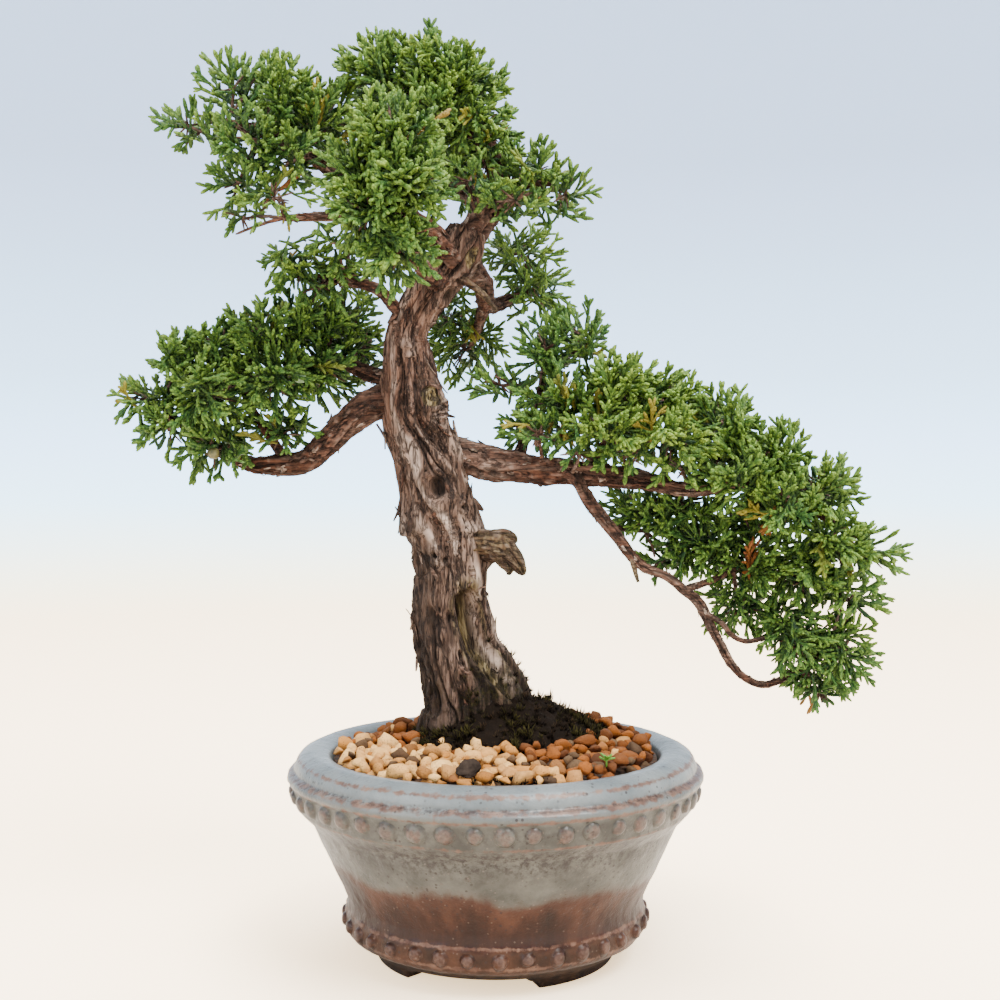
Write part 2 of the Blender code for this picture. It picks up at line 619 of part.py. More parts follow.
def make_berry(name, pads):
    """A berry on its pad's skin, moved out until it is clear of every pad."""
    pad, way, radius = BERRIES[name]
    way = Vector(way).normalized()
    centre = Vector(pad_seat(pad)[0]) + way * (pad_reach(pad, way) + radius)
    skins = [BVHTree.FromPolygons([v.co for v in p.data.vertices], [f.vertices for f in p.data.polygons]) for p in pads]
    while min(skin.find_nearest(centre)[3] for skin in skins) < radius + GAP:
        centre += way * GAP
    profile = [(radius * math.sin(math.pi * i / 7), -radius * math.cos(math.pi * i / 7)) for i in range(8)]
    berry = lathe(name, profile, 12)
    for vert in berry.data.vertices:
        vert.co += centre
    return berry


# ---------------------------------------------------------------- small things on the gravel
def make_slate():
    """A flat dark stone lying on the gravel at the front."""
    x, y = -8.7, -0.86 * FILL_RADIUS
    rim = [(-4.4, -1.0), (-2.2, -2.8), (2.0, -2.6), (4.3, -0.6), (3.4, 2.0), (-0.6, 2.7), (-3.6, 1.6)]
    low = max(gravel_top(x + a, y + b) for a, b in rim) + 0.9 + GAP
    points = [(x + a, y + b, low) for a, b in rim]
    points += [(x + a * 0.9, y + b * 0.85, low + 1.6 + 0.1 * a) for a, b in rim]
    count = len(rim)
    faces = [tuple(range(count))] + [(count, count + j, count + j + 1) for j in range(1, count - 1)]
    for j in range(count):
        k = (j + 1) % count
        faces += [(j, k, count + k), (j, count + k, count + j)]
    return solid("slate_chip", points, faces)


def make_seedling():
    """A sprout with a ring of short needles."""
    x, y = 0.64 * FILL_RADIUS, -0.67 * FILL_RADIUS
    low = gravel_top(x, y) + 0.9 + GAP
    stem = [(x, y, low + 0.4, 0.5), (x + 0.2, y, low + 1.8, 0.45), (x, y, low + 3.6, 0.4)]
    sprout = tube("seedling", stem, 6)
    for i in range(5):
        turn = 2 * math.pi * i / 5 + 0.3
        tip = (x + 2.2 * math.cos(turn), y + 2.2 * math.sin(turn), low + 4.4)
        boolean(sprout, tube("needle", [(x, y, low + 2.6, 0.35), (*tip, 0.2)], 5), "UNION")
    return sprout


# ---------------------------------------------------------------- assembly
def dress(obj):
    """Gives a node its material."""
    title, colour, rough = LOOKS.get(obj.name, FOLIAGE_LOOK)
    look = bpy.data.materials.get(title) or bpy.data.materials.new(title)
    look.use_nodes = True
    shader = next(n for n in look.node_tree.nodes if n.type == "BSDF_PRINCIPLED")
    shader.inputs["Base Color"].default_value = (*colour, 1)
    shader.inputs["Roughness"].default_value = rough
    shader.inputs["Metallic"].default_value = 1.0 if title == "clip_wire" else 0.0
    look.diffuse_color = (*colour, 1)
    obj.data.materials.clear()
    obj.data.materials.append(look)


def settle(nodes):
    """Centres everything over the origin, stands it on Z = 0 and turns it to metres."""
    spans = [np.array([v.co for v in obj.data.vertices]) for obj in nodes]
    low = np.min([s.min(axis=0) for s in spans], axis=0)
    high = np.max([s.max(axis=0) for s in spans], axis=0)
    shift = Vector(((low[0] + high[0]) / 2, (low[1] + high[1]) / 2, low[2]))
    for obj in nodes:
        for vert in obj.data.vertices:
            vert.co = (vert.co - shift) * 0.001
        obj.data.update()
    print("pot axis at", [round(-c, 3) for c in shift], "mm; extents", high - low)


def build():
    clear_scene()
    wood = make_wood("trunk_and_branches", 0.0)
    boolean(wood, make_hollow(), "DIFFERENCE")
    keep_largest(wood)
    nodes = [make_pot(), *make_drainage(), make_soil(), make_gravel(), make_moss(), wood]
    nodes += [make_pad(name) for name in PADS]
    room = make_wood("room", GAP)
    for obj in nodes:
        if obj.name in PADS or obj.name in ("soil", "moss_mound"):
            spare = room.copy()
            spare.data = room.data.copy()
            bpy.context.collection.objects.link(spare)
            boolean(obj, spare, "DIFFERENCE")
            keep_largest(obj)
    bpy.data.objects.remove(room)
    pads = [obj for obj in nodes if obj.name in PADS]
    nodes += [make_berry(name, pads) for name in BERRIES]
    nodes += [make_slate(), make_seedling()]
    for obj in nodes:
        dress(obj)
    settle(nodes)


build()
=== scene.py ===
import json
import math

import bmesh
import bpy
import numpy as np
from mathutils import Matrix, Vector

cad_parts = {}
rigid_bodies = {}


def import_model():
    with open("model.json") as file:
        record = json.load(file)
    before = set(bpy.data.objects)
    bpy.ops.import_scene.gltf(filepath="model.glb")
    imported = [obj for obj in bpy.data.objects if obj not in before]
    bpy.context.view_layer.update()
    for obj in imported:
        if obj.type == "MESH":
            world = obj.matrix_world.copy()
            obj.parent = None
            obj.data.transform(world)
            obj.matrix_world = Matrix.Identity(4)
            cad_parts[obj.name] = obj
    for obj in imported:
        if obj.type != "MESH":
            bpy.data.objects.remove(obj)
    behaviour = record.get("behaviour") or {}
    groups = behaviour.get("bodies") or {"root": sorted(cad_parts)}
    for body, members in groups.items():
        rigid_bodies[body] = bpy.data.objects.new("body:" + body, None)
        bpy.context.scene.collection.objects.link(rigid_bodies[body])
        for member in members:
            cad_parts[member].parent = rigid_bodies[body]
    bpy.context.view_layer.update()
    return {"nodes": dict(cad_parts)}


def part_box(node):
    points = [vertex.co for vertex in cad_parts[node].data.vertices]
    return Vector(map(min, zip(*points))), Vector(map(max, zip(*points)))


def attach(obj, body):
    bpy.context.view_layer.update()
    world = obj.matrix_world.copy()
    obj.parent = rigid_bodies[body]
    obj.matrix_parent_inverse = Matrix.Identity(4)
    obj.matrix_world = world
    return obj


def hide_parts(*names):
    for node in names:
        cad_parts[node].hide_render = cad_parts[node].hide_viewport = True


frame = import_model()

# A small juniper bonsai in a round glazed pot. Lengths are millimetres, turned to metres
# when a mesh is made. The wood tables are measured from the pot's own axis.
MM = 0.001
pot_low, pot_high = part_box("pot")
AXIS = np.array([(pot_low.x + pot_high.x) / 2, (pot_low.y + pot_high.y) / 2, 0.0]) / MM

TRUNK = (
    (-12.4, 18.0, 60.5, 15.0), (-12.2, 18.0, 67.9, 16.8), (-11.4, 17.0, 78.3, 16.6),
    (-10.6, 16.0, 87.9, 15.6), (-14.7, 15.0, 106.8, 14.6), (-16.9, 14.0, 125.5, 13.3),
    (-16.1, 13.0, 136.8, 12.6), (-17.2, 12.0, 148.0, 13.0), (-20.4, 11.0, 159.1, 13.4),
    (-23.0, 10.0, 170.2, 13.0), (-25.8, 9.0, 181.2, 12.8), (-30.2, 8.0, 192.2, 11.6),
    (-31.2, 7.0, 203.1, 11.8), (-31.5, 6.0, 210.3, 10.6), (-32.5, 5.0, 221.2, 8.4),
    (-30.2, 4.0, 228.3, 7.6), (-25.8, 3.0, 235.4, 7.8), (-20.7, 2.0, 242.5, 8.3),
    (-15.2, 1.0, 249.6, 8.8), (-12.0, 0.0, 255.9, 8.4), (-10.2, 0.0, 260.5, 7.0),
)
FLARE = (
    (-8.0, 13.0, 110.8, 6.0), (-1.3, 13.0, 98.8, 6.5), (6.2, 14.0, 86.3, 6.5),
    (15.2, 16.0, 72.1, 5.5), (21.0, 18.0, 62.0, 4.0),
)
BRANCHES = {
    "stub": (
        (-9.4, 10.0, 145.3, 7.4), (-3.7, 7.0, 146.4, 6.2), (1.1, 4.0, 145.8, 5.3),
        (4.6, 3.0, 143.4, 4.2), (7.4, 2.0, 140.6, 3.0), (9.6, 2.0, 137.4, 1.7), (10.3, 2.0, 135.8, 0.5),
    ),
    "stub_knob": (
        (-1.0, 3.5, 147.0, 4.4), (3.6, 3.0, 149.0, 3.3), (6.4, 2.6, 148.8, 2.0), (7.6, 2.4, 147.6, 0.6),
    ),
    "stub_prong": ((2.6, 3.0, 142.0, 3.2), (4.8, 2.0, 138.6, 2.1), (4.7, 1.6, 135.8, 0.6)),
    "crown": (
        (-10.9, 1.0, 255.5, 5.6), (-2.7, 8.0, 267.2, 4.6), (1.3, 12.0, 278.5, 3.6),
        (-2.7, 12.0, 291.3, 3.0), (-12.2, 10.0, 301.8, 2.4), (-23.0, 6.0, 307.3, 1.8),
        (-33.8, 5.0, 310.6, 1.2),
    ),
    "crown_right": ((1.0, 11.0, 276.5, 2.6), (9.8, 12.0, 278.9, 2.0), (20.7, 10.0, 279.2, 1.3)),
    "crown_back": (
        (-2.7, 9.0, 267.4, 3.0), (-10.4, 26.0, 277.1, 2.4), (-23.4, 40.0, 285.4, 1.8),
        (-36.2, 46.0, 290.1, 1.2),
    ),
    "upper_left": (
        (-14.4, -3.0, 248.3, 4.2), (-23.7, -9.0, 258.7, 3.5), (-37.8, -9.0, 267.5, 2.9),
        (-53.2, -7.0, 276.7, 2.4), (-69.4, -5.0, 287.6, 2.0), (-85.3, -5.0, 294.7, 1.6),
        (-99.8, -5.0, 298.2, 1.1),
    ),
    "left_front": ((-37.1, -9.0, 267.2, 2.0), (-53.8, -18.0, 262.5, 1.5), (-72.1, -25.0, 260.3, 1.0)),
    "link": (
        (-31.6, 3.0, 226.1, 2.2), (-41.3, -2.0, 237.7, 1.8), (-55.3, 2.0, 242.5, 1.4),
        (-70.9, 5.0, 244.3, 1.0),
    ),
    "front": (
        (-19.8, -3.0, 240.5, 3.4), (-25.5, -22.0, 245.0, 2.7), (-29.8, -40.0, 250.5, 2.2),
        (-31.2, -52.0, 257.6, 1.6), (-31.9, -56.0, 264.6, 1.1),
    ),
    "back_right": (
        (-10.2, 4.0, 249.3, 4.4), (-4.7, 20.0, 242.9, 3.5), (-3.3, 34.0, 237.0, 2.8),
        (2.5, 46.0, 239.0, 2.2), (12.4, 55.0, 244.8, 1.3),
    ),
    "back_low": ((-3.6, 31.0, 238.5, 2.5), (-6.1, 43.0, 231.3, 2.0), (-9.5, 56.0, 222.6, 1.3)),
    "left": (
        (-33.1, 8.0, 198.8, 6.0), (-44.1, 9.0, 198.1, 5.6), (-55.3, 10.0, 190.4, 4.8),
        (-63.5, 11.0, 182.3, 4.3), (-72.2, 12.0, 176.5, 3.8), (-83.2, 12.0, 175.7, 3.1),
        (-94.3, 12.0, 177.6, 2.4), (-109.1, 9.0, 185.6, 1.7), (-121.3, 5.0, 197.2, 1.0),
    ),
    "left_mid": ((-76.6, 12.0, 176.1, 2.0), (-85.4, 10.0, 189.3, 1.5), (-93.5, 8.0, 203.9, 1.0)),
    "left_upper": (
        (-34.1, 7.0, 205.3, 3.6), (-45.6, 13.0, 208.6, 2.8), (-56.1, 18.0, 214.1, 2.1),
        (-65.9, 22.0, 218.8, 1.2),
    ),
    "right": (
        (-20.4, 10.0, 180.5, 7.0), (-10.0, 9.0, 178.3, 6.2), (1.7, 6.0, 175.4, 5.4),
        (16.2, 2.0, 173.9, 4.7), (27.0, 0.0, 172.9, 4.4), (37.7, -2.0, 172.2, 3.8),
        (55.4, -4.0, 169.7, 2.9), (70.4, -5.0, 166.5, 2.3), (89.5, -4.0, 168.3, 1.8),
        (108.0, -1.0, 162.4, 1.4), (123.1, 0.0, 154.1, 1.0),
    ),
    "right_inner": ((7.2, 5.0, 175.0, 2.4), (12.1, 14.0, 188.7, 1.6), (16.7, 20.0, 204.5, 1.0)),
    "right_top": ((34.1, -1.0, 172.5, 2.2), (40.5, 3.0, 184.8, 1.5), (47.2, 5.0, 197.6, 1.0)),
    "right_mid": ((67.9, -5.0, 167.2, 1.9), (77.9, -2.0, 176.8, 1.4), (85.4, 0.0, 185.5, 1.0)),
    "droop": (
        (23.4, 0.0, 174.0, 2.6), (28.6, -4.0, 171.1, 2.2), (33.8, -6.0, 162.9, 2.0),
        (43.0, -8.0, 150.9, 1.8), (51.9, -8.0, 140.2, 1.7), (60.8, -8.0, 136.3, 1.6),
        (67.6, -8.0, 131.3, 1.6), (72.6, -8.0, 125.9, 1.6), (80.5, -8.0, 112.0, 1.4),
        (84.3, -7.0, 104.7, 1.4), (88.7, -6.0, 100.2, 1.3), (95.2, -4.0, 97.0, 1.2),
        (102.4, -2.0, 97.8, 1.1), (112.6, 0.0, 103.7, 1.0), (120.5, 0.0, 110.6, 0.8),
    ),
    "droop_fork": (
        (74.0, -8.0, 123.4, 1.2), (80.7, -9.0, 119.6, 1.0), (84.3, -9.0, 115.3, 1.0),
        (89.2, -9.0, 113.2, 0.9), (96.0, -7.0, 114.0, 0.8),
    ),
    "hang_inner": ((38.4, -7.0, 156.1, 1.3), (46.8, 3.0, 152.5, 1.0), (55.3, 12.0, 151.3, 0.8)),
    "hang_mid": ((67.6, -8.0, 131.3, 1.3), (79.8, 0.0, 134.9, 1.0), (93.5, 8.0, 140.1, 0.8)),
    "dead_twig": ((48.0, -8.0, 144.5, 1.0), (49.3, -9.0, 139.2, 0.9), (50.7, -10.0, 134.3, 0.5)),
    "grey_twig": (
        (-14.0, -1.0, 243.0, 1.6), (-9.0, -5.0, 240.0, 1.2), (-4.0, -6.0, 236.0, 1.1),
        (0.5, -7.0, 230.5, 0.5),
    ),
}

# Clumps of shoots: middle, then half width, half depth and half height
CLUMPS = {
    "upper_left": (
        (-114.2, -9.2, 296.3, 10.7, 14.0, 7.9), (-97.6, -12.2, 308.4, 11.4, 18.0, 12.8),
        (-81.0, -4.2, 307.5, 13.0, 24.0, 13.7), (-90.5, -22.2, 289.1, 14.6, 16.0, 10.5),
        (-95.1, -16.2, 274.5, 10.6, 14.0, 8.5), (-67.2, 0.8, 301.5, 14.6, 24.0, 14.6),
        (-74.2, -14.2, 283.8, 12.4, 18.0, 9.9),
    ),
    "apex": (
        (-47.4, 3.8, 316.9, 15.4, 26.0, 13.2), (-32.9, 7.8, 320.9, 14.8, 28.0, 12.6),
        (-16.3, 7.8, 314.2, 15.5, 26.0, 12.6), (-10.7, 3.8, 298.5, 13.9, 22.0, 11.7),
        (-28.7, -4.2, 300.3, 16.2, 22.0, 14.4), (-7.1, 7.8, 288.4, 11.1, 18.0, 9.2),
    ),
    "crown_right": (
        (7.7, 5.8, 282.4, 14.0, 22.0, 11.8), (20.4, 3.8, 274.7, 11.7, 18.0, 9.5),
        (-1.5, 10.8, 274.2, 10.4, 16.0, 8.9), (-14.0, -16.0, 275.0, 13.0, 9.0, 10.0),
        (2.0, -13.0, 269.0, 13.0, 9.0, 8.5),
    ),
    "front": (
        (-37.6, -54.2, 283.6, 15.7, 18.0, 13.7), (-32.0, -62.2, 264.9, 14.6, 17.0, 14.0),
        (-45.3, -59.2, 256.6, 14.5, 17.0, 14.5), (-36.0, -54.2, 244.4, 13.7, 16.0, 12.4),
        (-49.2, -52.2, 272.5, 13.1, 16.0, 11.5),
    ),
    "left_front": ((-80.7, -29.2, 266.9, 12.4, 14.0, 8.9), (-92.0, -27.0, 261.0, 10.0, 10.0, 7.5)),
    "link": (
        (-76.3, 0.8, 246.8, 13.1, 16.0, 9.5), (-59.3, -4.2, 244.4, 9.4, 12.0, 8.7),
        (-68.0, -6.0, 240.0, 17.0, 10.0, 10.0), (-58.0, -8.0, 254.0, 13.0, 9.0, 9.0),
    ),
    "back": ((-42.6, 40.8, 293.3, 25.5, 24.0, 21.6), (-18.9, 33.8, 290.0, 17.4, 20.0, 17.4)),
    "back_right": (
        (4.5, 43.8, 258.4, 15.8, 18.0, 11.0), (10.6, 50.8, 243.5, 14.4, 18.0, 12.8),
        (-17.4, 53.8, 221.7, 16.1, 16.0, 14.5), (-23.2, 45.8, 233.0, 11.9, 14.0, 11.9),
    ),
    "left_outer": (
        (-131.0, 0.8, 199.4, 13.1, 16.0, 9.5), (-118.2, 0.8, 214.0, 13.1, 20.0, 10.9),
        (-123.0, -2.2, 188.4, 13.0, 16.0, 9.4), (-105.3, -9.2, 200.8, 15.0, 22.0, 15.0),
        (-104.2, 3.8, 219.7, 13.2, 20.0, 8.8),
    ),
    "left_inner": (
        (-89.9, 5.8, 225.4, 15.5, 24.0, 10.3), (-86.4, -4.2, 206.4, 15.9, 24.0, 15.2),
        (-106.3, -4.2, 181.2, 13.7, 18.0, 11.6), (-83.6, 0.8, 186.7, 13.1, 16.0, 9.5),
        (-74.0, 10.8, 229.6, 11.9, 22.0, 10.4), (-68.8, 13.8, 211.2, 14.9, 22.0, 14.2),
        (-62.1, 20.8, 230.6, 12.9, 20.0, 12.1), (-54.8, 23.8, 219.4, 9.5, 16.0, 11.4),
    ),
    "right_inner": (
        (-3.4, 10.8, 205.4, 11.1, 14.0, 7.4), (13.4, 13.8, 218.7, 12.0, 20.0, 13.4),
        (26.3, 10.8, 224.0, 10.4, 18.0, 11.1), (18.6, 3.8, 199.6, 15.4, 22.0, 13.2),
        (7.6, 3.8, 188.6, 11.7, 14.0, 8.1), (10.0, -13.0, 187.0, 12.0, 9.0, 8.5),
        (24.0, -16.0, 180.0, 11.0, 8.0, 6.0),
    ),
    "right_top": (
        (40.4, 0.8, 204.9, 13.9, 24.0, 11.7), (35.7, -12.2, 188.2, 14.9, 22.0, 12.1),
        (57.1, 3.8, 199.6, 13.9, 24.0, 11.0), (56.8, -14.2, 184.6, 14.9, 22.0, 12.0),
        (42.0, -18.0, 178.5, 11.0, 8.0, 6.5), (61.0, -18.0, 174.0, 11.0, 8.0, 6.5),
    ),
    "right": (
        (75.0, 0.8, 192.1, 14.6, 26.0, 12.4), (78.0, -14.2, 174.0, 15.6, 22.0, 12.0),
        (95.0, 0.8, 179.4, 13.9, 24.0, 13.1), (96.7, -9.2, 163.3, 15.0, 24.0, 12.9),
        (112.8, -1.2, 166.7, 13.1, 22.0, 12.3), (115.8, -4.2, 146.9, 14.4, 22.0, 12.3),
        (130.2, -4.2, 143.3, 11.6, 16.0, 10.1), (123.5, -2.2, 126.8, 12.3, 18.0, 10.1),
        (107.8, 0.8, 133.8, 13.1, 20.0, 13.1),
    ),
    "hanging": (
        (48.1, 5.8, 159.2, 14.7, 16.0, 9.6), (70.2, 5.8, 148.1, 15.5, 18.0, 12.5),
        (57.1, 3.8, 140.9, 11.0, 12.0, 7.3), (88.3, 3.8, 140.9, 14.7, 18.0, 13.2),
        (84.6, 3.8, 122.6, 13.2, 14.0, 10.3), (104.9, -4.2, 112.6, 13.7, 18.0, 13.0),
        (121.2, -4.2, 107.2, 13.0, 16.0, 12.3), (111.7, -6.2, 94.8, 11.5, 12.0, 6.5),
        (64.0, 2.0, 162.0, 13.0, 12.0, 8.0), (86.0, 2.0, 157.0, 13.0, 12.0, 8.0),
    ),
}
# Each piece of foliage: the clumps it holds, the CAD pads it stands for and how full it is
SPRAYS = {
    "shoots_upper_left": (
        ("upper_left", "left_front", "link"),
        ("foliage_upper_left_tip", "foliage_upper_left", "foliage_left_front", "foliage_link"), 1.0,
    ),
    "shoots_apex": (("apex",), ("foliage_apex", "foliage_apex_right"), 1.1),
    "shoots_crown_right": (
        ("crown_right", "back_right"), ("foliage_crown_right", "foliage_back_right", "foliage_back_low"),
        0.9,
    ),
    "shoots_front": (("front",), ("foliage_crown_front",), 1.1),
    "shoots_back": (("back",), ("foliage_crown_back",), 0.8),
    "shoots_left_outer": (("left_outer",), ("foliage_left_tip", "foliage_left_mid"), 1.0),
    "shoots_left_inner": (("left_inner",), ("foliage_left_inner",), 1.0),
    "shoots_right_inner": (("right_inner", "right_top"), ("foliage_right_inner", "foliage_right_top"), 1.0),
    "shoots_right": (("right",), ("foliage_right_mid", "foliage_right_tip"), 1.0),
    "shoots_hanging": (
        ("hanging",), ("foliage_hanging_tip", "foliage_hanging_mid", "foliage_hanging_inner"), 1.0,
    ),
}

# Outside of the pot from the foot up: radius and height
OUTSIDE = (
    (42.7, 0.0), (44.6, 3.5), (50.0, 7.4), (53.2, 9.2), (54.3, 11.5), (54.3, 16.5),
    (53.5, 18.4), (53.5, 21.8), (55.6, 27.0), (59.4, 34.6), (63.4, 43.5), (64.9, 46.9),
    (66.0, 49.6), (69.6, 53.1), (70.9, 54.8), (72.0, 57.5), (73.3, 63.0), (74.6, 63.9),
    (75.0, 65.2), (74.2, 66.8), (72.6, 67.6), (71.3, 71.2), (69.9, 72.6), (68.4, 73.1),
)
RIM_INNER, RIM, WALL = 58.8, 73.1, 5.6
FLOOR_LOW, FLOOR_TOP, DRAIN = 6.5, 12.5, 9.0
FOOT_INNER, FOOT_HEIGHT = 36.7, 5.2
# Turn of the middle of an opening between the feet, and half its width
POT_TURN, GAP_HALF = math.radians(-11.65), math.radians(32.3)
# Rows of studs: how many, start, radius, height, slope and size
STUD_ROWS = ((47, 0.3, 72.2, 59.6, -0.25, 1.0), (35, 0.15, 54.1, 13.9, 0.0, 0.86))
# Edges where the glaze is thin: height and half width
WORN_EDGES = ((71.6, 0.8), (67.0, 1.1), (63.9, 0.75), (54.7, 0.6), (17.5, 0.7), (11.0, 0.9))
# Hollows that hold grime and painted shade: height, half width and strength
GRIME_AND_SHADE = ((51.6, 2.0, 1.0), (48.0, 5.0, 0.75), (67.4, 0.7, 0.9), (59.0, 3.0, 0.45))

# Knots: height, turn from the front, radius, raised ring, depth of pit, 1 for growth rings
KNOTS = (
    (201.0, 40, 3.9, 1.3, 0.0, 1), (200.0, -4, 2.7, 1.1, 0.2, 0), (241.0, 55, 3.0, 1.0, 0.6, 0),
    (253.0, 46, 2.9, 1.0, 0.0, 1), (168.0, 10, 4.9, 1.5, 3.2, 0), (159.0, 43, 1.9, 0.9, 1.8, 0),
    (145.0, -22, 1.8, 0.7, 1.4, 0), (142.5, -8, 1.4, 0.6, 1.0, 0), (193.0, 56, 3.0, 1.7, 0.0, 0),
    (188.0, 50, 2.4, 1.3, 0.3, 0), (186.0, 28, 1.7, 0.9, 0.4, 0), (196.0, 66, 2.6, 1.8, 0.0, 0),
    (178.0, -48, 2.6, 0.9, 0.5, 0), (214.0, 150, 3.2, 1.2, 1.2, 0), (120.0, 170, 4.2, 1.4, 2.4, 0),
    (155.0, 205, 3.4, 1.2, 1.2, 0),
)
# Wrinkles across the grain: height, turn, reach across, reach upward, depth
WRINKLES = ((151.5, 12, 6.0, 5.0, 0.4), (222.0, 42, 5.0, 4.0, 0.35), (209.0, 30, 4.0, 3.0, 0.3))
# Shelves of lifted bark: height, turn, reach across, reach downward, how far out
SHELVES = (
    (155.5, -62, 5.0, 3.2, 3.0), (150.0, 48, 4.0, 1.3, 1.5), (219.0, 6, 3.0, 2.6, 1.4),
    (215.5, 12, 2.4, 2.2, 1.6), (139.0, 84, 4.5, 3.5, 2.2), (176.0, 84, 5.0, 3.4, 1.6),
)
# Long slivers of bark: height, turn, length, 1 for up or -1 for down, how far they lift
SLIVERS = (
    (126, -72, 13, -1, 0.8), (119, -80, 10, -1, 1.0), (131, 30, 7, -1, 0.7), (127, 15, 6, -1, 0.6),
    (134, 26, 6, 1, 0.9), (229, -75, 12, 1, 0.5), (241, -70, 9, 1, 0.8), (236, -60, 8, 1, 0.6),
    (154, -75, 8, -1, 0.7), (150, -66, 6, -1, 1.1), (185, -86, 15, 1, 0.4), (193, -88, 12, -1, 0.4),
    (133, 38, 5, 1, 1.0), (121, 52, 5, -1, 0.8), (147, -52, 6, -1, 1.0), (159, -80, 7, 1, 0.8),
)

# The moss mound: its middle, half width and half depth, and the height of its edge
MOSS_X, MOSS_Y, MOSS_WIDE, MOSS_DEEP, MOSS_LOW = 4.0, 14.0, 38.0, 27.0, 73.6

# How the shoots of each clump look: fullness, length, thickness, upward lean, freshness,
# yellowness and share of old shoots
LOOKS = {
    "upper_left": (1.05, 1.0, 1.0, 0.12, 0.85, 0.5, 0.012),
    "left_front": (0.7, 1.0, 0.85, 0.0, 0.8, 0.8, 0.06),
    "link": (1.0, 1.0, 0.9, 0.0, 0.7, 0.6, 0.05),
    "apex": (1.1, 0.85, 1.0, 0.16, 0.95, 0.55, 0.02),
    "crown_right": (1.05, 0.9, 1.0, 0.12, 0.9, 0.5, 0.02),
    "front": (1.05, 1.4, 1.04, 0.02, 0.8, 0.5, 0.006),
    "back": (0.9, 1.1, 1.0, 0.1, 0.6, 0.4, 0.03),
    "back_right": (1.2, 1.0, 0.85, 0.05, 0.7, 0.75, 0.02),
    "left_outer": (1.0, 1.1, 0.95, 0.06, 0.85, 0.5, 0.012),
    "left_inner": (0.95, 1.1, 0.95, 0.04, 0.75, 0.45, 0.02),
    "right_inner": (1.0, 1.0, 0.95, 0.12, 0.65, 0.35, 0.03),
    "right_top": (1.1, 1.0, 1.0, 0.12, 0.95, 0.75, 0.03),
    "right": (1.1, 1.0, 1.02, 0.08, 0.85, 0.55, 0.03),
    "hanging": (1.2, 1.25, 0.85, -0.05, 0.7, 0.45, 0.015),
}
SPRAYS_PER_MM2 = 0.0122


# ------------------------------------------------------------------ numbers
def value_noise(points, seed=0):
    """Smooth noise from -1 to 1 at each point."""
    cell = np.floor(points).astype(np.int64)
    part = points - cell
    ease = part * part * (3 - 2 * part)
    total = np.zeros(len(points))
    for dx in (0, 1):
        for dy in (0, 1):
            for dz in (0, 1):
                key = (cell[:, 0] + dx) * 73856093 ^ (cell[:, 1] + dy) * 19349663
                key = key ^ (cell[:, 2] + dz) * 83492791 ^ (seed * 2654435 + 12345)
                key = (key ^ (key >> 15)) * 2246822519 & 0xFFFFFFFF
                key = (key ^ (key >> 13)) * 3266489917 & 0xFFFFFFFF
                value = ((key >> 8) & 0xFFFF) / 32767.5 - 1
                weight = np.where(dx, ease[:, 0], 1 - ease[:, 0])
                weight = weight * np.where(dy, ease[:, 1], 1 - ease[:, 1])
                total += value * weight * np.where(dz, ease[:, 2], 1 - ease[:, 2])
    return total


def layered(points, seed=0, layers=3):
    """Noise with finer and weaker layers added, still from -1 to 1."""
    total, size, reach = 0, 1.0, 0
    for i in range(layers):
        total = total + size * value_noise(points * 2.03**i + 17.3 * i, seed + i)
        reach, size = reach + size, size * 0.5
    return total / reach


def ease(low, high, x):
    t = np.clip((x - low) / (high - low), 0, 1)
    return t * t * (3 - 2 * t)


def bell(x, middle, width):
    return np.exp(-(((x - middle) / width) ** 2))


def unit(v):
    return v / np.maximum(np.linalg.norm(v, axis=-1, keepdims=True), 1e-9)


def turn_from(turn, middle):
    """Angle from a middle, between minus and plus half a turn."""
    return (turn - middle + math.pi) % (2 * math.pi) - math.pi


def round_places(turn, along, tight, step):
    """Places on a roller at which to read noise: tight packs it round, step stretches it along."""
    flat = [np.cos(turn).ravel() * tight, np.sin(turn).ravel() * tight, along.ravel() / step]
    return np.stack(flat, 1)


def smooth_path(stations, step):
    """Points and radii close together along a smooth curve through the stations."""
    p = np.array(stations, float)
    p = np.vstack([2 * p[0] - p[1], p, 2 * p[-1] - p[-2]])
    out = []
    for i in range(1, len(p) - 2):
        count = max(2, int(round(np.linalg.norm(p[i + 1, :3] - p[i, :3]) / step)))
        for t in np.arange(count) / count:
            a, b, c, d = p[i - 1], p[i], p[i + 1], p[i + 2]
            bend = (2 * a - 5 * b + 4 * c - d) * t * t + (3 * b - a - 3 * c + d) * t**3
            out.append(0.5 * (2 * b + (c - a) * t + bend))
    out.append(p[-2])
    out = np.array(out)
    return out[:, :3], np.maximum(out[:, 3], 0.25)


class Rows:
    """Lists that grow together, one value for each name at a time."""

    def __init__(self):
        self.lists = {}

    def add(self, **values):
        for key, value in values.items():
            self.lists.setdefault(key, []).append(value)

    def marks(self, more):
        """Every list but the places, with further marks that may be one number for all."""
        marks = {key: np.array(value) for key, value in self.lists.items() if key != "at"}
        count = len(self.lists["at"])
        return marks | {key: np.zeros(count) + value for key, value in more.items()}


def ring_frames(path):
    """Along, right and front directions that turn as little as they can along the path."""
    along = unit(np.gradient(path, axis=0))
    right = np.array([1.0, 0, 0]) if abs(along[0][0]) < 0.9 else np.array([0, 1.0, 0])
    rights = []
    for a in along:
        right = right - a * right.dot(a)
        right = right / np.linalg.norm(right)
        rights.append(right)
    rights = np.array(rights)
    return along, rights, np.cross(along, rights)


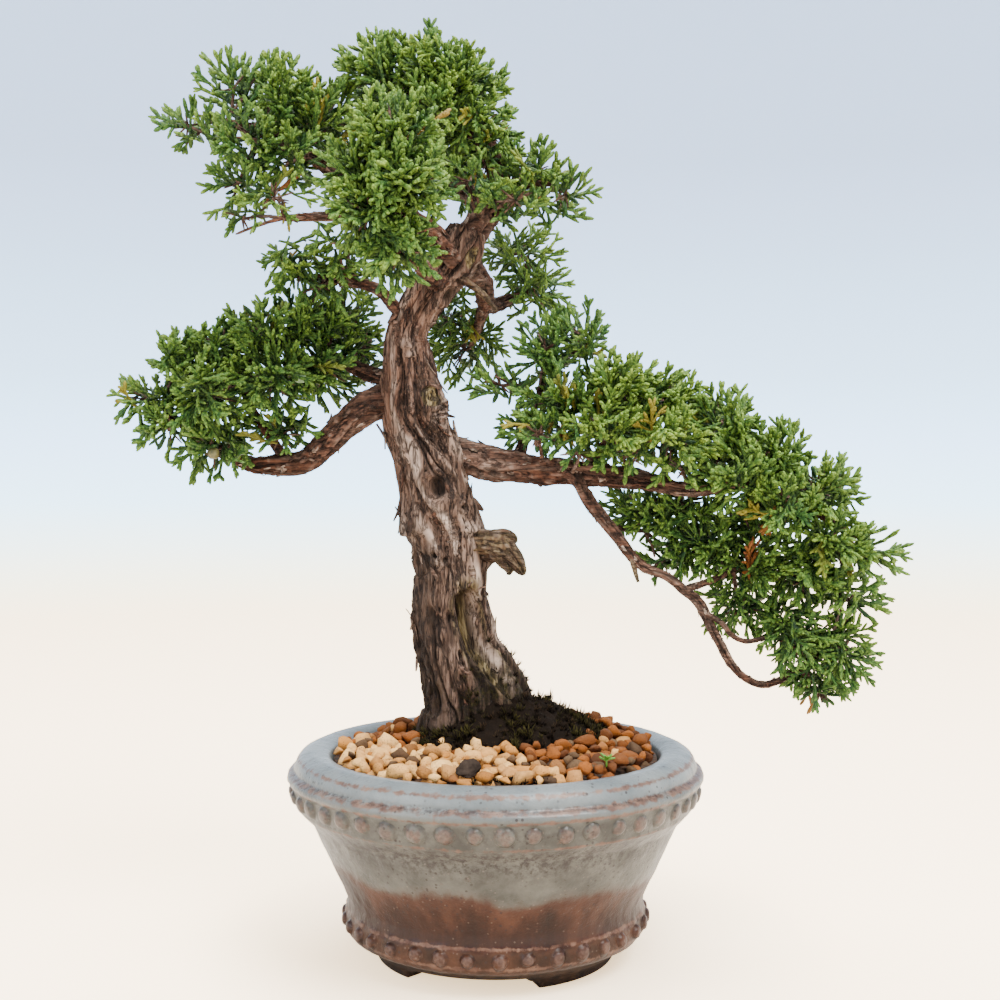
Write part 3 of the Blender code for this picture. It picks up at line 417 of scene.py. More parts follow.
# ------------------------------------------------------------------ meshes
def make_object(name, points, faces, marks=None):
    """A smooth mesh from points in millimetres, with marks for its finish to read."""
    mesh = bpy.data.meshes.new(name)
    mesh.from_pydata((np.asarray(points, float) * MM).tolist(), [], [tuple(map(int, f)) for f in faces])
    mesh.polygons.foreach_set("use_smooth", [True] * len(mesh.polygons))
    for key, value in (marks or {}).items():
        value = np.asarray(value, float)
        if value.ndim == 2:
            layer = mesh.attributes.new(key, "FLOAT_VECTOR", "POINT")
            layer.data.foreach_set("vector", value.ravel())
        else:
            layer = mesh.attributes.new(key, "FLOAT", "POINT")
            layer.data.foreach_set("value", value)
    mesh.update()
    obj = bpy.data.objects.new(name, mesh)
    bpy.context.scene.collection.objects.link(obj)
    return obj


def ring_faces(rings, sides, first=0):
    j = np.arange(sides)
    k = (j + 1) % sides
    faces = [
        np.stack([i * sides + j, i * sides + k, (i + 1) * sides + k, (i + 1) * sides + j], 1)
        for i in range(rings - 1)
    ]
    return (np.concatenate(faces) + first).tolist()


def tube_faces(rings, sides, first=0):
    """The wall of a tube and its two ends."""
    low = tuple(first + j for j in reversed(range(sides)))
    high = tuple(first + (rings - 1) * sides + j for j in range(sides))
    return ring_faces(rings, sides, first) + [low, high]


def tube_points(path, radius, turn, front, side):
    """Rings of points round a path, where front and side are the ways that the turn is taken from."""
    turn = turn[:, :, None]
    return path[:, None] + radius[:, :, None] * (np.cos(turn) * front[:, None] + np.sin(turn) * side[:, None])


def outward(obj):
    """Makes every face of a closed mesh look outward."""
    b = bmesh.new()
    b.from_mesh(obj.data)
    bmesh.ops.recalc_face_normals(b, faces=b.faces)
    b.to_mesh(obj.data)
    b.free()


def bed_piece(name, points, middle, sides, low, material, marks=None):
    """A closed bed: rings of points round its middle, then straight down to a flat base."""
    last, base = len(points) - sides, len(points) + 1
    faces = ring_faces(len(points) // sides, sides)
    faces += [(len(points), j, (j + 1) % sides) for j in range(sides)]
    faces += [(last + j, last + (j + 1) % sides, base + (j + 1) % sides, base + j) for j in range(sides)]
    faces.append(tuple(range(base, base + sides)))
    points = np.array(points + [middle] + [(x, y, low) for x, y, _ in points[last:]])
    marks = {key: np.zeros(len(points)) + value for key, value in (marks or {}).items()}
    obj = make_object(name, points + AXIS, faces, marks)
    outward(obj)
    return paint(obj, material)


def paint(obj, material):
    obj.data.materials.clear()
    obj.data.materials.append(material)
    return obj


def place(obj, nodes, slot):
    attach(obj, "root")
    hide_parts(*nodes)


# ------------------------------------------------------------------ geometry nodes
class Tree:
    """A node tree being filled, with short ways to add and join nodes."""

    def __init__(self, tree):
        self.tree = tree

    def add(self, kind, inputs=None, **settings):
        node = self.tree.nodes.new(kind)
        for key, value in settings.items():
            setattr(node, key, value)
        for key, value in (inputs or {}).items():
            self.feed(node.inputs[key], value)
        return node

    def feed(self, socket, value):
        """Joins another node's value to a socket, or sets a plain one; a colour may leave out alpha."""
        if isinstance(value, bpy.types.NodeSocket):
            self.tree.links.new(value, socket)
        elif socket.type == "RGBA" and len(value) == 3:
            socket.default_value = (*value, 1)
        else:
            socket.default_value = value

    def math(self, operation, a, b=0.0, clamp=False):
        return self.add("ShaderNodeMath", {0: a, 1: b}, operation=operation, use_clamp=clamp).outputs[0]

    def times(self, a, b):
        return self.math("MULTIPLY", a, b)

    def plus(self, a, b, clamp=False):
        return self.math("ADD", a, b, clamp)

    def minus(self, a, b):
        return self.math("SUBTRACT", a, b)

    def swing(self, noise, amount):
        """Noise about its middle, spread to an amount."""
        return self.times(self.minus(noise, 0.5), amount)

    def mix(self, factor, a, b):
        return self.add("ShaderNodeMix", {0: factor, 6: a, 7: b}, data_type="RGBA").outputs[2]

    def named(self, name, kind="FLOAT"):
        node = self.add("GeometryNodeInputNamedAttribute", data_type=kind)
        node.inputs["Name"].default_value = name
        return node.outputs["Attribute"]


def geometry_tree(name, **inputs):
    """A tree that turns points into pieces; each input is given with its kind."""
    tree = bpy.data.node_groups.new(name, "GeometryNodeTree")
    tree.interface.new_socket("Points", in_out="INPUT", socket_type="NodeSocketGeometry")
    for key, kind in inputs.items():
        tree.interface.new_socket(key, in_out="INPUT", socket_type="NodeSocket" + kind)
    tree.interface.new_socket("Pieces", in_out="OUTPUT", socket_type="NodeSocketGeometry")
    return Tree(tree), tree.nodes.new("NodeGroupInput").outputs, tree.nodes.new("NodeGroupOutput").inputs


def finish_tree(t, given, out, instances):
    """Turns the instances into one painted mesh."""
    real = t.add("GeometryNodeRealizeInstances", {"Geometry": instances})
    smooth = t.add("GeometryNodeSetShadeSmooth", {"Geometry": real.outputs[0]})
    painted = t.add("GeometryNodeSetMaterial", {"Geometry": smooth.outputs[0], "Material": given["Material"]})
    t.feed(out[0], painted.outputs[0])


def turned(t, given):
    """Rotation that sends up along each point's way, after a roll about it."""
    roll = t.add("FunctionNodeRandomValue", {2: 0.0, 3: 6.2832, "Seed": given["Seed"]}, data_type="FLOAT")
    spin = t.add("ShaderNodeCombineXYZ", {"Z": roll.outputs[1]})
    spun = t.add("FunctionNodeEulerToRotation", {0: spin.outputs[0]})
    aim = t.add("FunctionNodeAlignRotationToVector", {"Vector": t.named("way", "FLOAT_VECTOR")}, axis="Z")
    both = t.add(
        "FunctionNodeRotateRotation", {"Rotation": aim.outputs[0], "Rotate By": spun.outputs[0]},
        rotation_space="LOCAL",
    )
    return both.outputs[0]


def scatter_tree():
    """Puts shapes from a collection on points: way is up, facing turns the side, size scales."""
    t, given, out = geometry_tree(
        "scatter_shapes", Shapes="Collection", Material="Material", Facing="Bool", Seed="Int")
    shapes = t.add(
        "GeometryNodeCollectionInfo",
        {"Collection": given["Shapes"], "Separate Children": True, "Reset Children": True},
    )
    pick = t.add("FunctionNodeRandomValue", {4: 0, 5: 1000, "Seed": given["Seed"]}, data_type="INT")
    aim = t.add("FunctionNodeAlignRotationToVector", {"Vector": t.named("way", "FLOAT_VECTOR")}, axis="Z")
    faced = t.add(
        "FunctionNodeAlignRotationToVector",
        {"Rotation": aim.outputs[0], "Vector": t.named("facing", "FLOAT_VECTOR")}, axis="X",
        pivot_axis="Z",
    )
    switch = t.add("GeometryNodeSwitch", {"Switch": given["Facing"]}, input_type="ROTATION")
    t.feed(switch.inputs["False"], turned(t, given))
    t.feed(switch.inputs["True"], faced.outputs[0])
    put = t.add(
        "GeometryNodeInstanceOnPoints",
        {
            "Points": given["Points"], "Instance": shapes.outputs[0], "Pick Instance": True,
            "Instance Index": pick.outputs[2], "Rotation": switch.outputs[0],
            "Scale": t.named("size", "FLOAT_VECTOR"),
        },
    )
    finish_tree(t, given, out, put.outputs[0])
    return t.tree


def shoot_tree():
    """Grows one shoot on each point, along its way, with a blunt tip."""
    t, given, out = geometry_tree(
        "grow_shoots", Material="Material", Sides="Int", Steps="Int", Tip="Float", Bend="Float", Seed="Int")
    middle = t.add("ShaderNodeCombineXYZ", {"X": given["Bend"], "Z": 0.5})
    curve = t.add(
        "GeometryNodeCurveQuadraticBezier",
        {"Resolution": given["Steps"], "Start": (0, 0, 0), "Middle": middle.outputs[0], "End": (0, 0, 1)},
    )
    factor = t.add("GeometryNodeSplineParameter").outputs["Factor"]
    marked = t.add(
        "GeometryNodeStoreNamedAttribute",
        {"Geometry": curve.outputs[0], "Name": "along", "Value": factor}, data_type="FLOAT",
        domain="POINT",
    )
    swell = t.times(t.math("POWER", factor, 2.0), given["Tip"])
    close = t.times(t.math("POWER", factor, 14.0), t.plus(given["Tip"], 0.3))
    width = t.minus(t.plus(swell, 0.8), close)
    ring = t.add("GeometryNodeCurvePrimitiveCircle", {"Resolution": given["Sides"], "Radius": 1.0})
    tube = t.add(
        "GeometryNodeCurveToMesh",
        {"Curve": marked.outputs[0], "Profile Curve": ring.outputs[0], "Scale": width, "Fill Caps": True},
    )
    across = t.named("thick")
    size = t.add("ShaderNodeCombineXYZ", {"X": across, "Y": across, "Z": t.named("length")})
    put = t.add(
        "GeometryNodeInstanceOnPoints",
        {
            "Points": given["Points"], "Instance": tube.outputs[0], "Rotation": turned(t, given),
            "Scale": size.outputs[0],
        },
    )
    finish_tree(t, given, out, put.outputs[0])
    return t.tree


def grow(name, tree, points, marks, values):
    """Runs a tree on points and returns the finished plain mesh as an object."""
    base = make_object(name + "_points", points, [], marks)
    modifier = base.modifiers.new("grow", "NODES")
    modifier.node_group = tree
    for item in tree.interface.items_tree:
        if item.in_out == "INPUT" and item.name in values:
            modifier[item.identifier] = values[item.name]
    base.update_tag()
    bpy.context.view_layer.update()
    mesh = bpy.data.meshes.new_from_object(base.evaluated_get(bpy.context.evaluated_depsgraph_get()))
    bpy.data.objects.remove(base)
    mesh.name = name
    obj = bpy.data.objects.new(name, mesh)
    bpy.context.scene.collection.objects.link(obj)
    return obj


def shape_collection(name, shapes):
    group = bpy.data.collections.new(name)
    for obj in shapes:
        for owner in list(obj.users_collection):
            owner.objects.unlink(obj)
        group.objects.link(obj)
    return group


def drop_shapes(group):
    for obj in list(group.objects):
        bpy.data.objects.remove(obj)
    bpy.data.collections.remove(group)


def scatter(name, shapes, rows, material, seed, facing=False, **more):
    """Puts shapes on the rows' places, measured from the pot's axis, as one mesh."""
    group = shape_collection(name + "_shapes", shapes)
    values = {"Shapes": group, "Material": material, "Facing": facing, "Seed": seed}
    obj = grow(name, SCATTER, np.array(rows.lists["at"]) + AXIS, rows.marks(more), values)
    drop_shapes(group)
    return obj


def grow_shoots(name, rows, material, fineness, tip, bend, seed, **more):
    """Grows a shoot from each place; fineness is its sides and steps."""
    marks = rows.marks(more)
    marks["length"] = marks["length"] * MM
    marks["thick"] = marks["thick"] * MM
    values = {"Material": material, "Sides": fineness[0], "Steps": fineness[1]}
    values |= {"Tip": tip, "Bend": bend, "Seed": seed}
    return grow(name, GROW, np.array(rows.lists["at"]), marks, values)


# ------------------------------------------------------------------ shared finishes
def shader_group(name, inputs, outputs):
    """A group whose inputs are given with their usual values; a place has none."""
    tree = bpy.data.node_groups.new(name, "ShaderNodeTree")
    for key, value in inputs.items():
        kind = VECTOR if value is None else COLOUR if isinstance(value, tuple) else FLOAT
        socket = tree.interface.new_socket(key, in_out="INPUT", socket_type=kind)
        if value is not None:
            socket.default_value = value
    for key, kind in outputs.items():
        tree.interface.new_socket(key, in_out="OUTPUT", socket_type=kind)
    return Tree(tree), tree.nodes.new("NodeGroupInput").outputs, tree.nodes.new("NodeGroupOutput").inputs


FLOAT, COLOUR, VECTOR = "NodeSocketFloat", "NodeSocketColor", "NodeSocketVector"


def mottle_group():
    """Soft patches between a darker and a lighter tone."""
    t, given, out = shader_group(
        "mottle",
        {"Place": None, "Scale": 100.0, "Contrast": 0.5, "Dark": (0, 0, 0, 1), "Light": (1, 1, 1, 1)},
        {"Colour": COLOUR, "Mask": FLOAT},
    )
    noise = t.add(
        "ShaderNodeTexNoise",
        {"Vector": given["Place"], "Scale": given["Scale"], "Detail": 5.0, "Roughness": 0.62},
    )
    mask = t.plus(t.swing(noise.outputs[0], t.times(given["Contrast"], 6.0)), 0.5, clamp=True)
    t.feed(out["Colour"], t.mix(mask, given["Dark"], given["Light"]))
    t.feed(out["Mask"], mask)
    return t.tree


def grain_group():
    """Fine tooth: a height for bump and a small swing for roughness."""
    t, given, out = shader_group(
        "fine_grain", {"Place": None, "Scale": 900.0, "Height": 1.0, "Rough Low": 0.4, "Rough High": 0.6},
        {"Height": FLOAT, "Roughness": FLOAT},
    )
    noise = t.add(
        "ShaderNodeTexNoise",
        {"Vector": given["Place"], "Scale": given["Scale"], "Detail": 4.0, "Roughness": 0.6},
    )
    t.feed(out["Height"], t.times(noise.outputs[0], given["Height"]))
    spread = t.minus(given["Rough High"], given["Rough Low"])
    t.feed(out["Roughness"], t.plus(given["Rough Low"], t.times(noise.outputs[0], spread)))
    return t.tree


def speck_group():
    """Small separate specks, as in a glaze or on stone."""
    t, given, out = shader_group(
        "specks", {"Place": None, "Scale": 1500.0, "Size": 0.2, "Share": 0.4}, {"Mask": FLOAT},
    )
    cells = t.add(
        "ShaderNodeTexVoronoi", {"Vector": given["Place"], "Scale": given["Scale"], "Randomness": 1.0},
    )
    near = t.math("LESS_THAN", cells.outputs["Distance"], given["Size"])
    split = t.add("ShaderNodeSeparateColor", {0: cells.outputs["Color"]})
    some = t.math("LESS_THAN", split.outputs[0], given["Share"])
    t.feed(out["Mask"], t.times(near, some))
    return t.tree


def dust_group():
    """Pale dust that settles where a surface looks up."""
    t, given, out = shader_group(
        "settled_dust",
        {"Colour": (0.1, 0.1, 0.1, 1), "Dust": (0.3, 0.27, 0.22, 1), "Amount": 0.1, "Place": None},
        {"Colour": COLOUR},
    )
    up = t.add("ShaderNodeSeparateXYZ", {0: t.add("ShaderNodeNewGeometry").outputs["Normal"]}).outputs[2]
    noise = t.add("ShaderNodeTexNoise", {"Vector": given["Place"], "Scale": 400.0, "Detail": 3.0})
    mask = t.times(t.times(t.math("MAXIMUM", up, 0.0), noise.outputs[0]), given["Amount"])
    t.feed(out["Colour"], t.mix(mask, given["Colour"], given["Dust"]))
    return t.tree


MOTTLE, GRAIN, SPECKS, DUST = mottle_group(), grain_group(), speck_group(), dust_group()


class Finish(Tree):
    """A material being made: its surface shader and short ways to colour it."""

    def __init__(self, name, **surface):
        self.material = bpy.data.materials.new(name)
        self.material.use_nodes = True
        super().__init__(self.material.node_tree)
        self.surface = self.tree.nodes["Principled BSDF"]
        for key, value in surface.items():
            self.surface.inputs[key.replace("_", " ")].default_value = value
        self.place = self.add("ShaderNodeTexCoord").outputs["Object"]

    def stretched(self, x, y, z):
        return self.add("ShaderNodeMapping", {"Vector": self.place, "Scale": (x, y, z)}).outputs[0]

    def group(self, tree, **inputs):
        node = self.tree.nodes.new("ShaderNodeGroup")
        node.node_tree = tree
        if "Place" in [s.name for s in node.inputs] and "Place" not in inputs:
            inputs["Place"] = self.place
        for key, value in inputs.items():
            self.feed(node.inputs[key.replace("_", " ")], value)
        return node.outputs

    def mark(self, name):
        return self.add("ShaderNodeAttribute", attribute_name=name).outputs["Fac"]

    def ramp(self, factor, *stops):
        node = self.add("ShaderNodeValToRGB", {0: factor})
        while len(node.color_ramp.elements) < len(stops):
            node.color_ramp.elements.new(0.5)
        for element, (at, colour) in zip(node.color_ramp.elements, stops):
            element.position = at
            element.color = (*colour, 1) if isinstance(colour, tuple) else (colour, colour, colour, 1)
        return node.outputs[0]

    def level(self, factor, low, high):
        """Factor spread so that low gives 0 and high gives 1, clamped."""
        node = self.add("ShaderNodeMapRange", {0: factor, 1: low, 2: high, 3: 0.0, 4: 1.0})
        return node.outputs[0]

    def noise(self, scale, place=None, detail=4.0, rough=0.6, warp=0.0):
        return self.add(
            "ShaderNodeTexNoise",
            {
                "Vector": place or self.place, "Scale": scale, "Detail": detail, "Roughness": rough,
                "Distortion": warp,
            },
        ).outputs[0]

    def bump(self, height, distance, strength=1.0, under=None):
        node = self.add("ShaderNodeBump", {"Height": height, "Distance": distance, "Strength": strength})
        if under:
            self.feed(node.inputs["Normal"], under)
        return node.outputs[0]

    def done(self, colour=None, roughness=None, normal=None):
        for key, value in (("Base Color", colour), ("Roughness", roughness), ("Normal", normal)):
            if value is not None:
                self.feed(self.surface.inputs[key], value)
        return self.material


def glaze_material():
    f = Finish("glaze", Coat_Roughness=0.1, Specular_IOR_Level=0.2)
    height, edge, stud = f.mark("height"), f.mark("edge"), f.mark("lift")
    streak = f.noise(55.0, f.stretched(1, 1, 0.12), 6.0, 0.7)
    ragged = f.noise(26.0, f.stretched(1, 1, 0.25), 5.0, 0.65)
    rim = f.group(
        MOTTLE, Scale=60.0, Contrast=0.4, Dark=(0.085, 0.1, 0.105), Light=(0.175, 0.19, 0.188),
    )["Colour"]
    body = f.group(
        MOTTLE, Scale=75.0, Contrast=0.45, Dark=(0.038, 0.036, 0.03), Light=(0.108, 0.102, 0.084),
    )["Colour"]
    blue = f.mix(f.level(height, 62.0, 70.0), body, rim)
    brown = f.ramp(
        streak, (0.32, (0.009, 0.003, 0.0015)), (0.5, (0.027, 0.008, 0.0035)),
        (0.68, (0.075, 0.027, 0.013)),
    )
    # Height where the blue glaze has run down to
    run = f.plus(height, f.swing(ragged, 16.0))
    runs = f.plus(run, f.swing(streak, 9.0))
    cover = f.level(runs, 33.4, 36.0)
    colour = f.mix(cover, brown, blue)
    # The warm line along the edge of the run
    fringe = f.times(f.level(runs, 29.0, 33.0), f.minus(1.0, f.level(runs, 34.0, 38.0)))
    colour = f.mix(f.times(fringe, 0.5), colour, (0.06, 0.022, 0.012))
    # Grey-violet pool above the base band and the brown band with its pale top edge
    pool = f.times(f.level(height, 27.5, 20.0), f.level(height, 17.0, 19.5))
    colour = f.mix(f.times(pool, 0.6), colour, (0.02, 0.009, 0.008))
    band = f.ramp(f.noise(120.0), (0.35, (0.02, 0.007, 0.003)), (0.65, (0.06, 0.022, 0.01)))
    low = f.level(f.plus(height, f.swing(ragged, 2.5)), 17.9, 17.2)
    colour = f.mix(low, colour, band)
    # Thin glaze on edges and studs breaks to pinkish brown
    worn = f.times(f.level(f.plus(edge, f.swing(f.noise(320.0, detail=6.0), 2.2)), 0.35, 0.7), 0.85)
    colour = f.mix(
        worn, colour, f.ramp(f.noise(200.0), (0.35, (0.07, 0.028, 0.018)), (0.65, (0.17, 0.092, 0.06))),
    )
    top = f.level(f.plus(stud, f.swing(f.noise(420.0, detail=5.0), 2.6)), 0.5, 0.9)
    colour = f.mix(
        f.times(top, 0.55), colour,
        f.ramp(f.noise(700.0), (0.35, (0.06, 0.026, 0.018)), (0.65, (0.17, 0.1, 0.075))),
    )
    # Painted shade: a dark ring round the skirt of each stud, where it meets the wall
    around = f.times(f.level(stud, 0.02, 0.12), f.level(stud, 0.5, 0.2))
    colour = f.mix(f.times(around, f.level(f.noise(150.0), 0.45, 0.85)), colour, (0.022, 0.013, 0.01))
    # Grime and painted shade in the hollows under the rim and below the studs, freckles and pinholes
    grime = f.times(f.mark("grime"), f.level(f.noise(420.0, detail=7.0, rough=0.75), 0.44, 0.58))
    colour = f.mix(grime, colour, (0.02, 0.014, 0.014))
    freckle = f.group(SPECKS, Scale=620.0, Size=0.3, Share=0.3)["Mask"]
    patchy = f.level(f.noise(70.0), 0.42, 0.58)
    colour = f.mix(f.times(f.times(freckle, patchy), 0.75), colour, (0.02, 0.012, 0.012))
    pale = f.group(SPECKS, Scale=800.0, Size=0.26, Share=0.12)["Mask"]
    colour = f.mix(f.times(pale, 0.2), colour, (0.24, 0.17, 0.13))
    # Bare clay on the feet and underneath
    bare = f.mark("bare")
    clay = f.group(
        MOTTLE, Scale=260.0, Contrast=0.6, Dark=(0.008, 0.004, 0.003), Light=(0.035, 0.017, 0.009),
    )["Colour"]
    colour = f.mix(bare, colour, clay)
    grain = f.group(GRAIN, Scale=1100.0, Height=1.0, Rough_Low=0.16, Rough_High=0.5)
    rough = f.math("MAXIMUM", grain["Roughness"], f.times(bare, 0.8))
    rough = f.math("MAXIMUM", rough, f.times(worn, 0.5))
    rough = f.math("MAXIMUM", rough, f.times(f.minus(1.0, cover), 0.36))
    f.feed(f.surface.inputs["Coat Weight"], f.times(f.minus(1.0, bare), f.times(cover, 0.14)))
    normal = f.bump(f.noise(130.0, detail=4.0), 0.0014, 0.45)
    normal = f.bump(f.plus(grain["Height"], f.times(streak, 1.5)), 0.0002, 0.5, normal)
    return f.done(colour, rough, normal)


BARK_MARKS = ("high", "groove", "bare", "dark", "red", "moss", "fibre")


def bark_material(name, old):
    """Flaking, fibrous juniper bark. Old wood is greyer, young wood redder."""
    f = Finish(name, Roughness=0.85, Specular_IOR_Level=0.2)
    high, groove, bare, dark, red, moss, fibre = (f.mark(key) for key in BARK_MARKS)

    def grain_noise(scale, stretch, *more):
        """Noise drawn out along the grain, which runs up the trunk and along the limbs."""
        return f.noise(scale, f.stretched(1, 1, stretch) if old else f.stretched(stretch, 1, 1), *more)

    def gap(noise, middle, width):
        """Thin lines where the noise crosses a level."""
        return f.level(f.math("ABSOLUTE", f.minus(noise, middle)), width, 0.006)

    patch = grain_noise(85.0, 0.35, 5.0)
    fine = grain_noise(900.0, 0.1, 6.0, 0.7)
    split = gap(grain_noise(150.0, 0.16, 4.0, 0.6), 0.5, 0.026)
    hair = gap(grain_noise(330.0, 0.14, 4.0, 0.6), 0.47, 0.03)
    base = f.ramp(
        patch, (0.3, (0.04, 0.018, 0.011)), (0.45, (0.11, 0.06, 0.04)), (0.58, (0.2, 0.122, 0.088)),
        (0.72, (0.32, 0.215, 0.165)),
    )
    young = f.ramp(
        patch, (0.32, (0.025, 0.007, 0.003)), (0.5, (0.085, 0.027, 0.012)), (0.68, (0.17, 0.072, 0.038)),
    )
    colour = f.mix(f.times(red, f.level(f.noise(40.0, f.stretched(1, 1, 0.4)), 0.38, 0.6)), base, young)
    colour = f.mix(
        f.level(fine, 0.35, 0.65), colour,
        f.mix(0.5, colour, (0.2, 0.13, 0.092) if old else (0.17, 0.07, 0.04)),
    )
    colour = f.mix(f.times(f.level(fine, 0.6, 0.42), 0.6), colour, (0.012, 0.005, 0.003))
    lift = f.group(MOTTLE, Scale=140.0, Contrast=0.5, Dark=(0.24, 0.16, 0.12), Light=(0.6, 0.46, 0.37))
    colour = f.mix(f.times(f.times(high, f.minus(1.0, f.times(red, 0.6))), 0.85), colour, lift["Colour"])
    wood = f.ramp(
        f.noise(500.0, f.stretched(1, 1, 0.08), 6.0), (0.35, (0.014, 0.008, 0.003)),
        (0.5, (0.09, 0.063, 0.024)), (0.66, (0.25, 0.19, 0.1)),
    )
    colour = f.mix(bare, colour, wood)
    colour = f.mix(groove, colour, (0.005, 0.0025, 0.0018))
    gaps = f.math("MAXIMUM", split, f.times(hair, 0.7))
    colour = f.mix(f.times(gaps, 0.88 if old else 0.6), colour, (0.007, 0.0035, 0.0025))
    # Near-black for the dark mark: dark rough bark, pits and damp wood, with painted shade where the main
    # branches leave the trunk
    dark_bark_and_shade = f.ramp(
        f.noise(260.0, f.stretched(1, 1, 0.4)), (0.35, (0.004, 0.0028, 0.0022)),
        (0.65, (0.03, 0.017, 0.01)),
    )
    colour = f.mix(f.times(dark, 0.93), colour, dark_bark_and_shade)
    green = f.times(moss, f.level(f.noise(330.0, detail=6.0, rough=0.7), 0.42, 0.6))
    colour = f.mix(
        green, colour,
        f.ramp(f.noise(600.0), (0.4, (0.005, 0.004, 0.0015)), (0.65, (0.035, 0.028, 0.007))),
    )
    colour = f.group(DUST, Colour=colour, Dust=(0.16, 0.115, 0.08), Amount=0.12)["Colour"]
    grain = f.group(
        GRAIN, Place=f.stretched(1, 1, 0.15), Scale=1500.0, Height=0.6, Rough_Low=0.72, Rough_High=0.95,
    )
    ridge = f.plus(fine, grain["Height"])
    normal = f.bump(f.noise(420.0, f.stretched(1, 1, 0.15), 6.0, 0.7), 0.0007, 0.6)
    normal = f.bump(f.plus(ridge, fibre), 0.0003, 0.7, normal)
    normal = f.bump(f.minus(1.0, gaps), 0.001, 0.9, normal)
    return f.done(colour, grain["Roughness"], normal)


def shoot_material():
    """Cord-like shoots of overlapping scale leaves, yellower at the tips."""
    f = Finish("scale_leaves", Specular_IOR_Level=0.2)
    along, age, deep, tint = f.mark("along"), f.mark("age"), f.mark("deep"), f.mark("tint")
    cells = f.add("ShaderNodeTexVoronoi", {"Vector": f.place, "Scale": 1050.0, "Randomness": 0.75})
    scale = cells.outputs["Distance"]
    dark = f.mix(tint, (0.003, 0.017, 0.006), (0.007, 0.028, 0.005))
    mid = f.mix(tint, (0.02, 0.078, 0.015), (0.066, 0.14, 0.014))
    tip = f.mix(tint, (0.13, 0.27, 0.04), (0.31, 0.44, 0.055))
    # Painted shade: shoots deep inside a clump take the dark colour
    colour = f.mix(f.level(deep, 0.55, 0.05), dark, mid)
    fresh = f.times(f.level(f.plus(along, f.times(f.noise(700.0), 0.5)), 0.55, 1.35), f.mark("fresh"))
    colour = f.mix(fresh, colour, tip)
    colour = f.mix(f.level(scale, 0.18, 0.62), f.mix(0.2, colour, tip), f.mix(0.55, colour, dark))
    # Old shoots turn yellow, then orange-brown
    colour = f.mix(
        f.level(age, 0.25, 0.6), colour, f.mix(f.noise(300.0), (0.14, 0.14, 0.012), (0.24, 0.19, 0.025)),
    )
    colour = f.mix(
        f.level(age, 0.7, 0.95), colour,
        f.ramp(f.noise(400.0), (0.35, (0.1, 0.025, 0.006)), (0.65, (0.24, 0.09, 0.018))),
    )
    # More painted shade on the shoots deepest inside a clump
    colour = f.mix(f.times(f.level(deep, 0.6, 1.0), 0.55), colour, (0.004, 0.012, 0.004))
    grain = f.group(GRAIN, Scale=1800.0, Height=0.5, Rough_Low=0.42, Rough_High=0.68)
    height = f.minus(grain["Height"], f.times(scale, 1.6))
    return f.done(colour, grain["Roughness"], f.bump(height, 0.0003, 0.75))


def gravel_material():
    """Baked clay grit: cream and pink in places, orange in others, a few grey-brown grains."""
    f = Finish("grit", Specular_IOR_Level=0.2)
    hue, shade = f.mark("hue"), f.mark("shade")
    cream = f.mix(shade, (0.46, 0.17, 0.022), (0.92, 0.53, 0.18))
    orange = f.mix(shade, (0.06, 0.015, 0.0025), (0.28, 0.078, 0.008))
    grey = f.mix(shade, (0.04, 0.02, 0.009), (0.11, 0.06, 0.027))
    colour = f.mix(f.level(hue, 0.2, 0.55), cream, orange)
    colour = f.mix(f.level(hue, 0.85, 0.95), colour, grey)
    colour = f.mix(
        f.times(f.level(f.noise(330.0, detail=6.0), 0.5, 0.66), 0.55), colour,
        f.mix(0.5, colour, (0.09, 0.033, 0.01)),
    )
    colour = f.mix(
        f.times(f.group(SPECKS, Scale=1500.0, Size=0.32, Share=0.3)["Mask"], 0.5), colour,
        (0.07, 0.03, 0.012),
    )
    colour = f.group(DUST, Colour=colour, Dust=(0.5, 0.33, 0.19), Amount=0.1)["Colour"]
    grain = f.group(GRAIN, Scale=1600.0, Height=1.0, Rough_Low=0.78, Rough_High=0.98)
    pores = f.noise(700.0, detail=6.0, rough=0.7)
    return f.done(
        colour, grain["Roughness"], f.bump(f.plus(grain["Height"], f.times(pores, 2.0)), 0.0005, 0.8),
    )


def bed_material(name, dark, light, scale=500.0, rough=(0.85, 1.0)):
    """Damp crumbly fill."""
    f = Finish(name)
    crumbs = f.group(MOTTLE, Scale=scale, Contrast=0.7, Dark=dark, Light=light)
    colour = f.mix(
        f.times(f.group(SPECKS, Scale=scale * 2, Size=0.3, Share=0.2)["Mask"], 0.5), crumbs["Colour"],
        light,
    )
    grain = f.group(GRAIN, Scale=scale * 2.5, Height=1.0, Rough_Low=rough[0], Rough_High=rough[1])
    return f.done(colour, grain["Roughness"], f.bump(f.plus(grain["Height"], crumbs["Mask"]), 0.0008, 0.9))


def moss_material():
    f = Finish("moss", Roughness=0.95, Specular_IOR_Level=0.1)
    fresh, along = f.mark("fresh"), f.mark("along")
    dark = f.mix(f.noise(300.0), (0.003, 0.0018, 0.001), (0.01, 0.0055, 0.0028))
    green = f.mix(f.noise(240.0), (0.012, 0.0105, 0.002), (0.06, 0.05, 0.012))
    brown = f.mix(f.noise(500.0), (0.02, 0.0105, 0.0045), (0.07, 0.042, 0.02))
    colour = f.mix(f.times(f.level(fresh, 0.45, 0.8), f.level(along, 0.1, 0.8)), dark, green)
    colour = f.mix(f.times(f.level(fresh, 0.3, 0.1), f.level(along, 0.3, 1.0)), colour, brown)
    grain = f.group(GRAIN, Scale=1500.0, Height=1.0, Rough_Low=0.85, Rough_High=1.0)
    return f.done(colour, grain["Roughness"], f.bump(grain["Height"], 0.0004, 0.8))


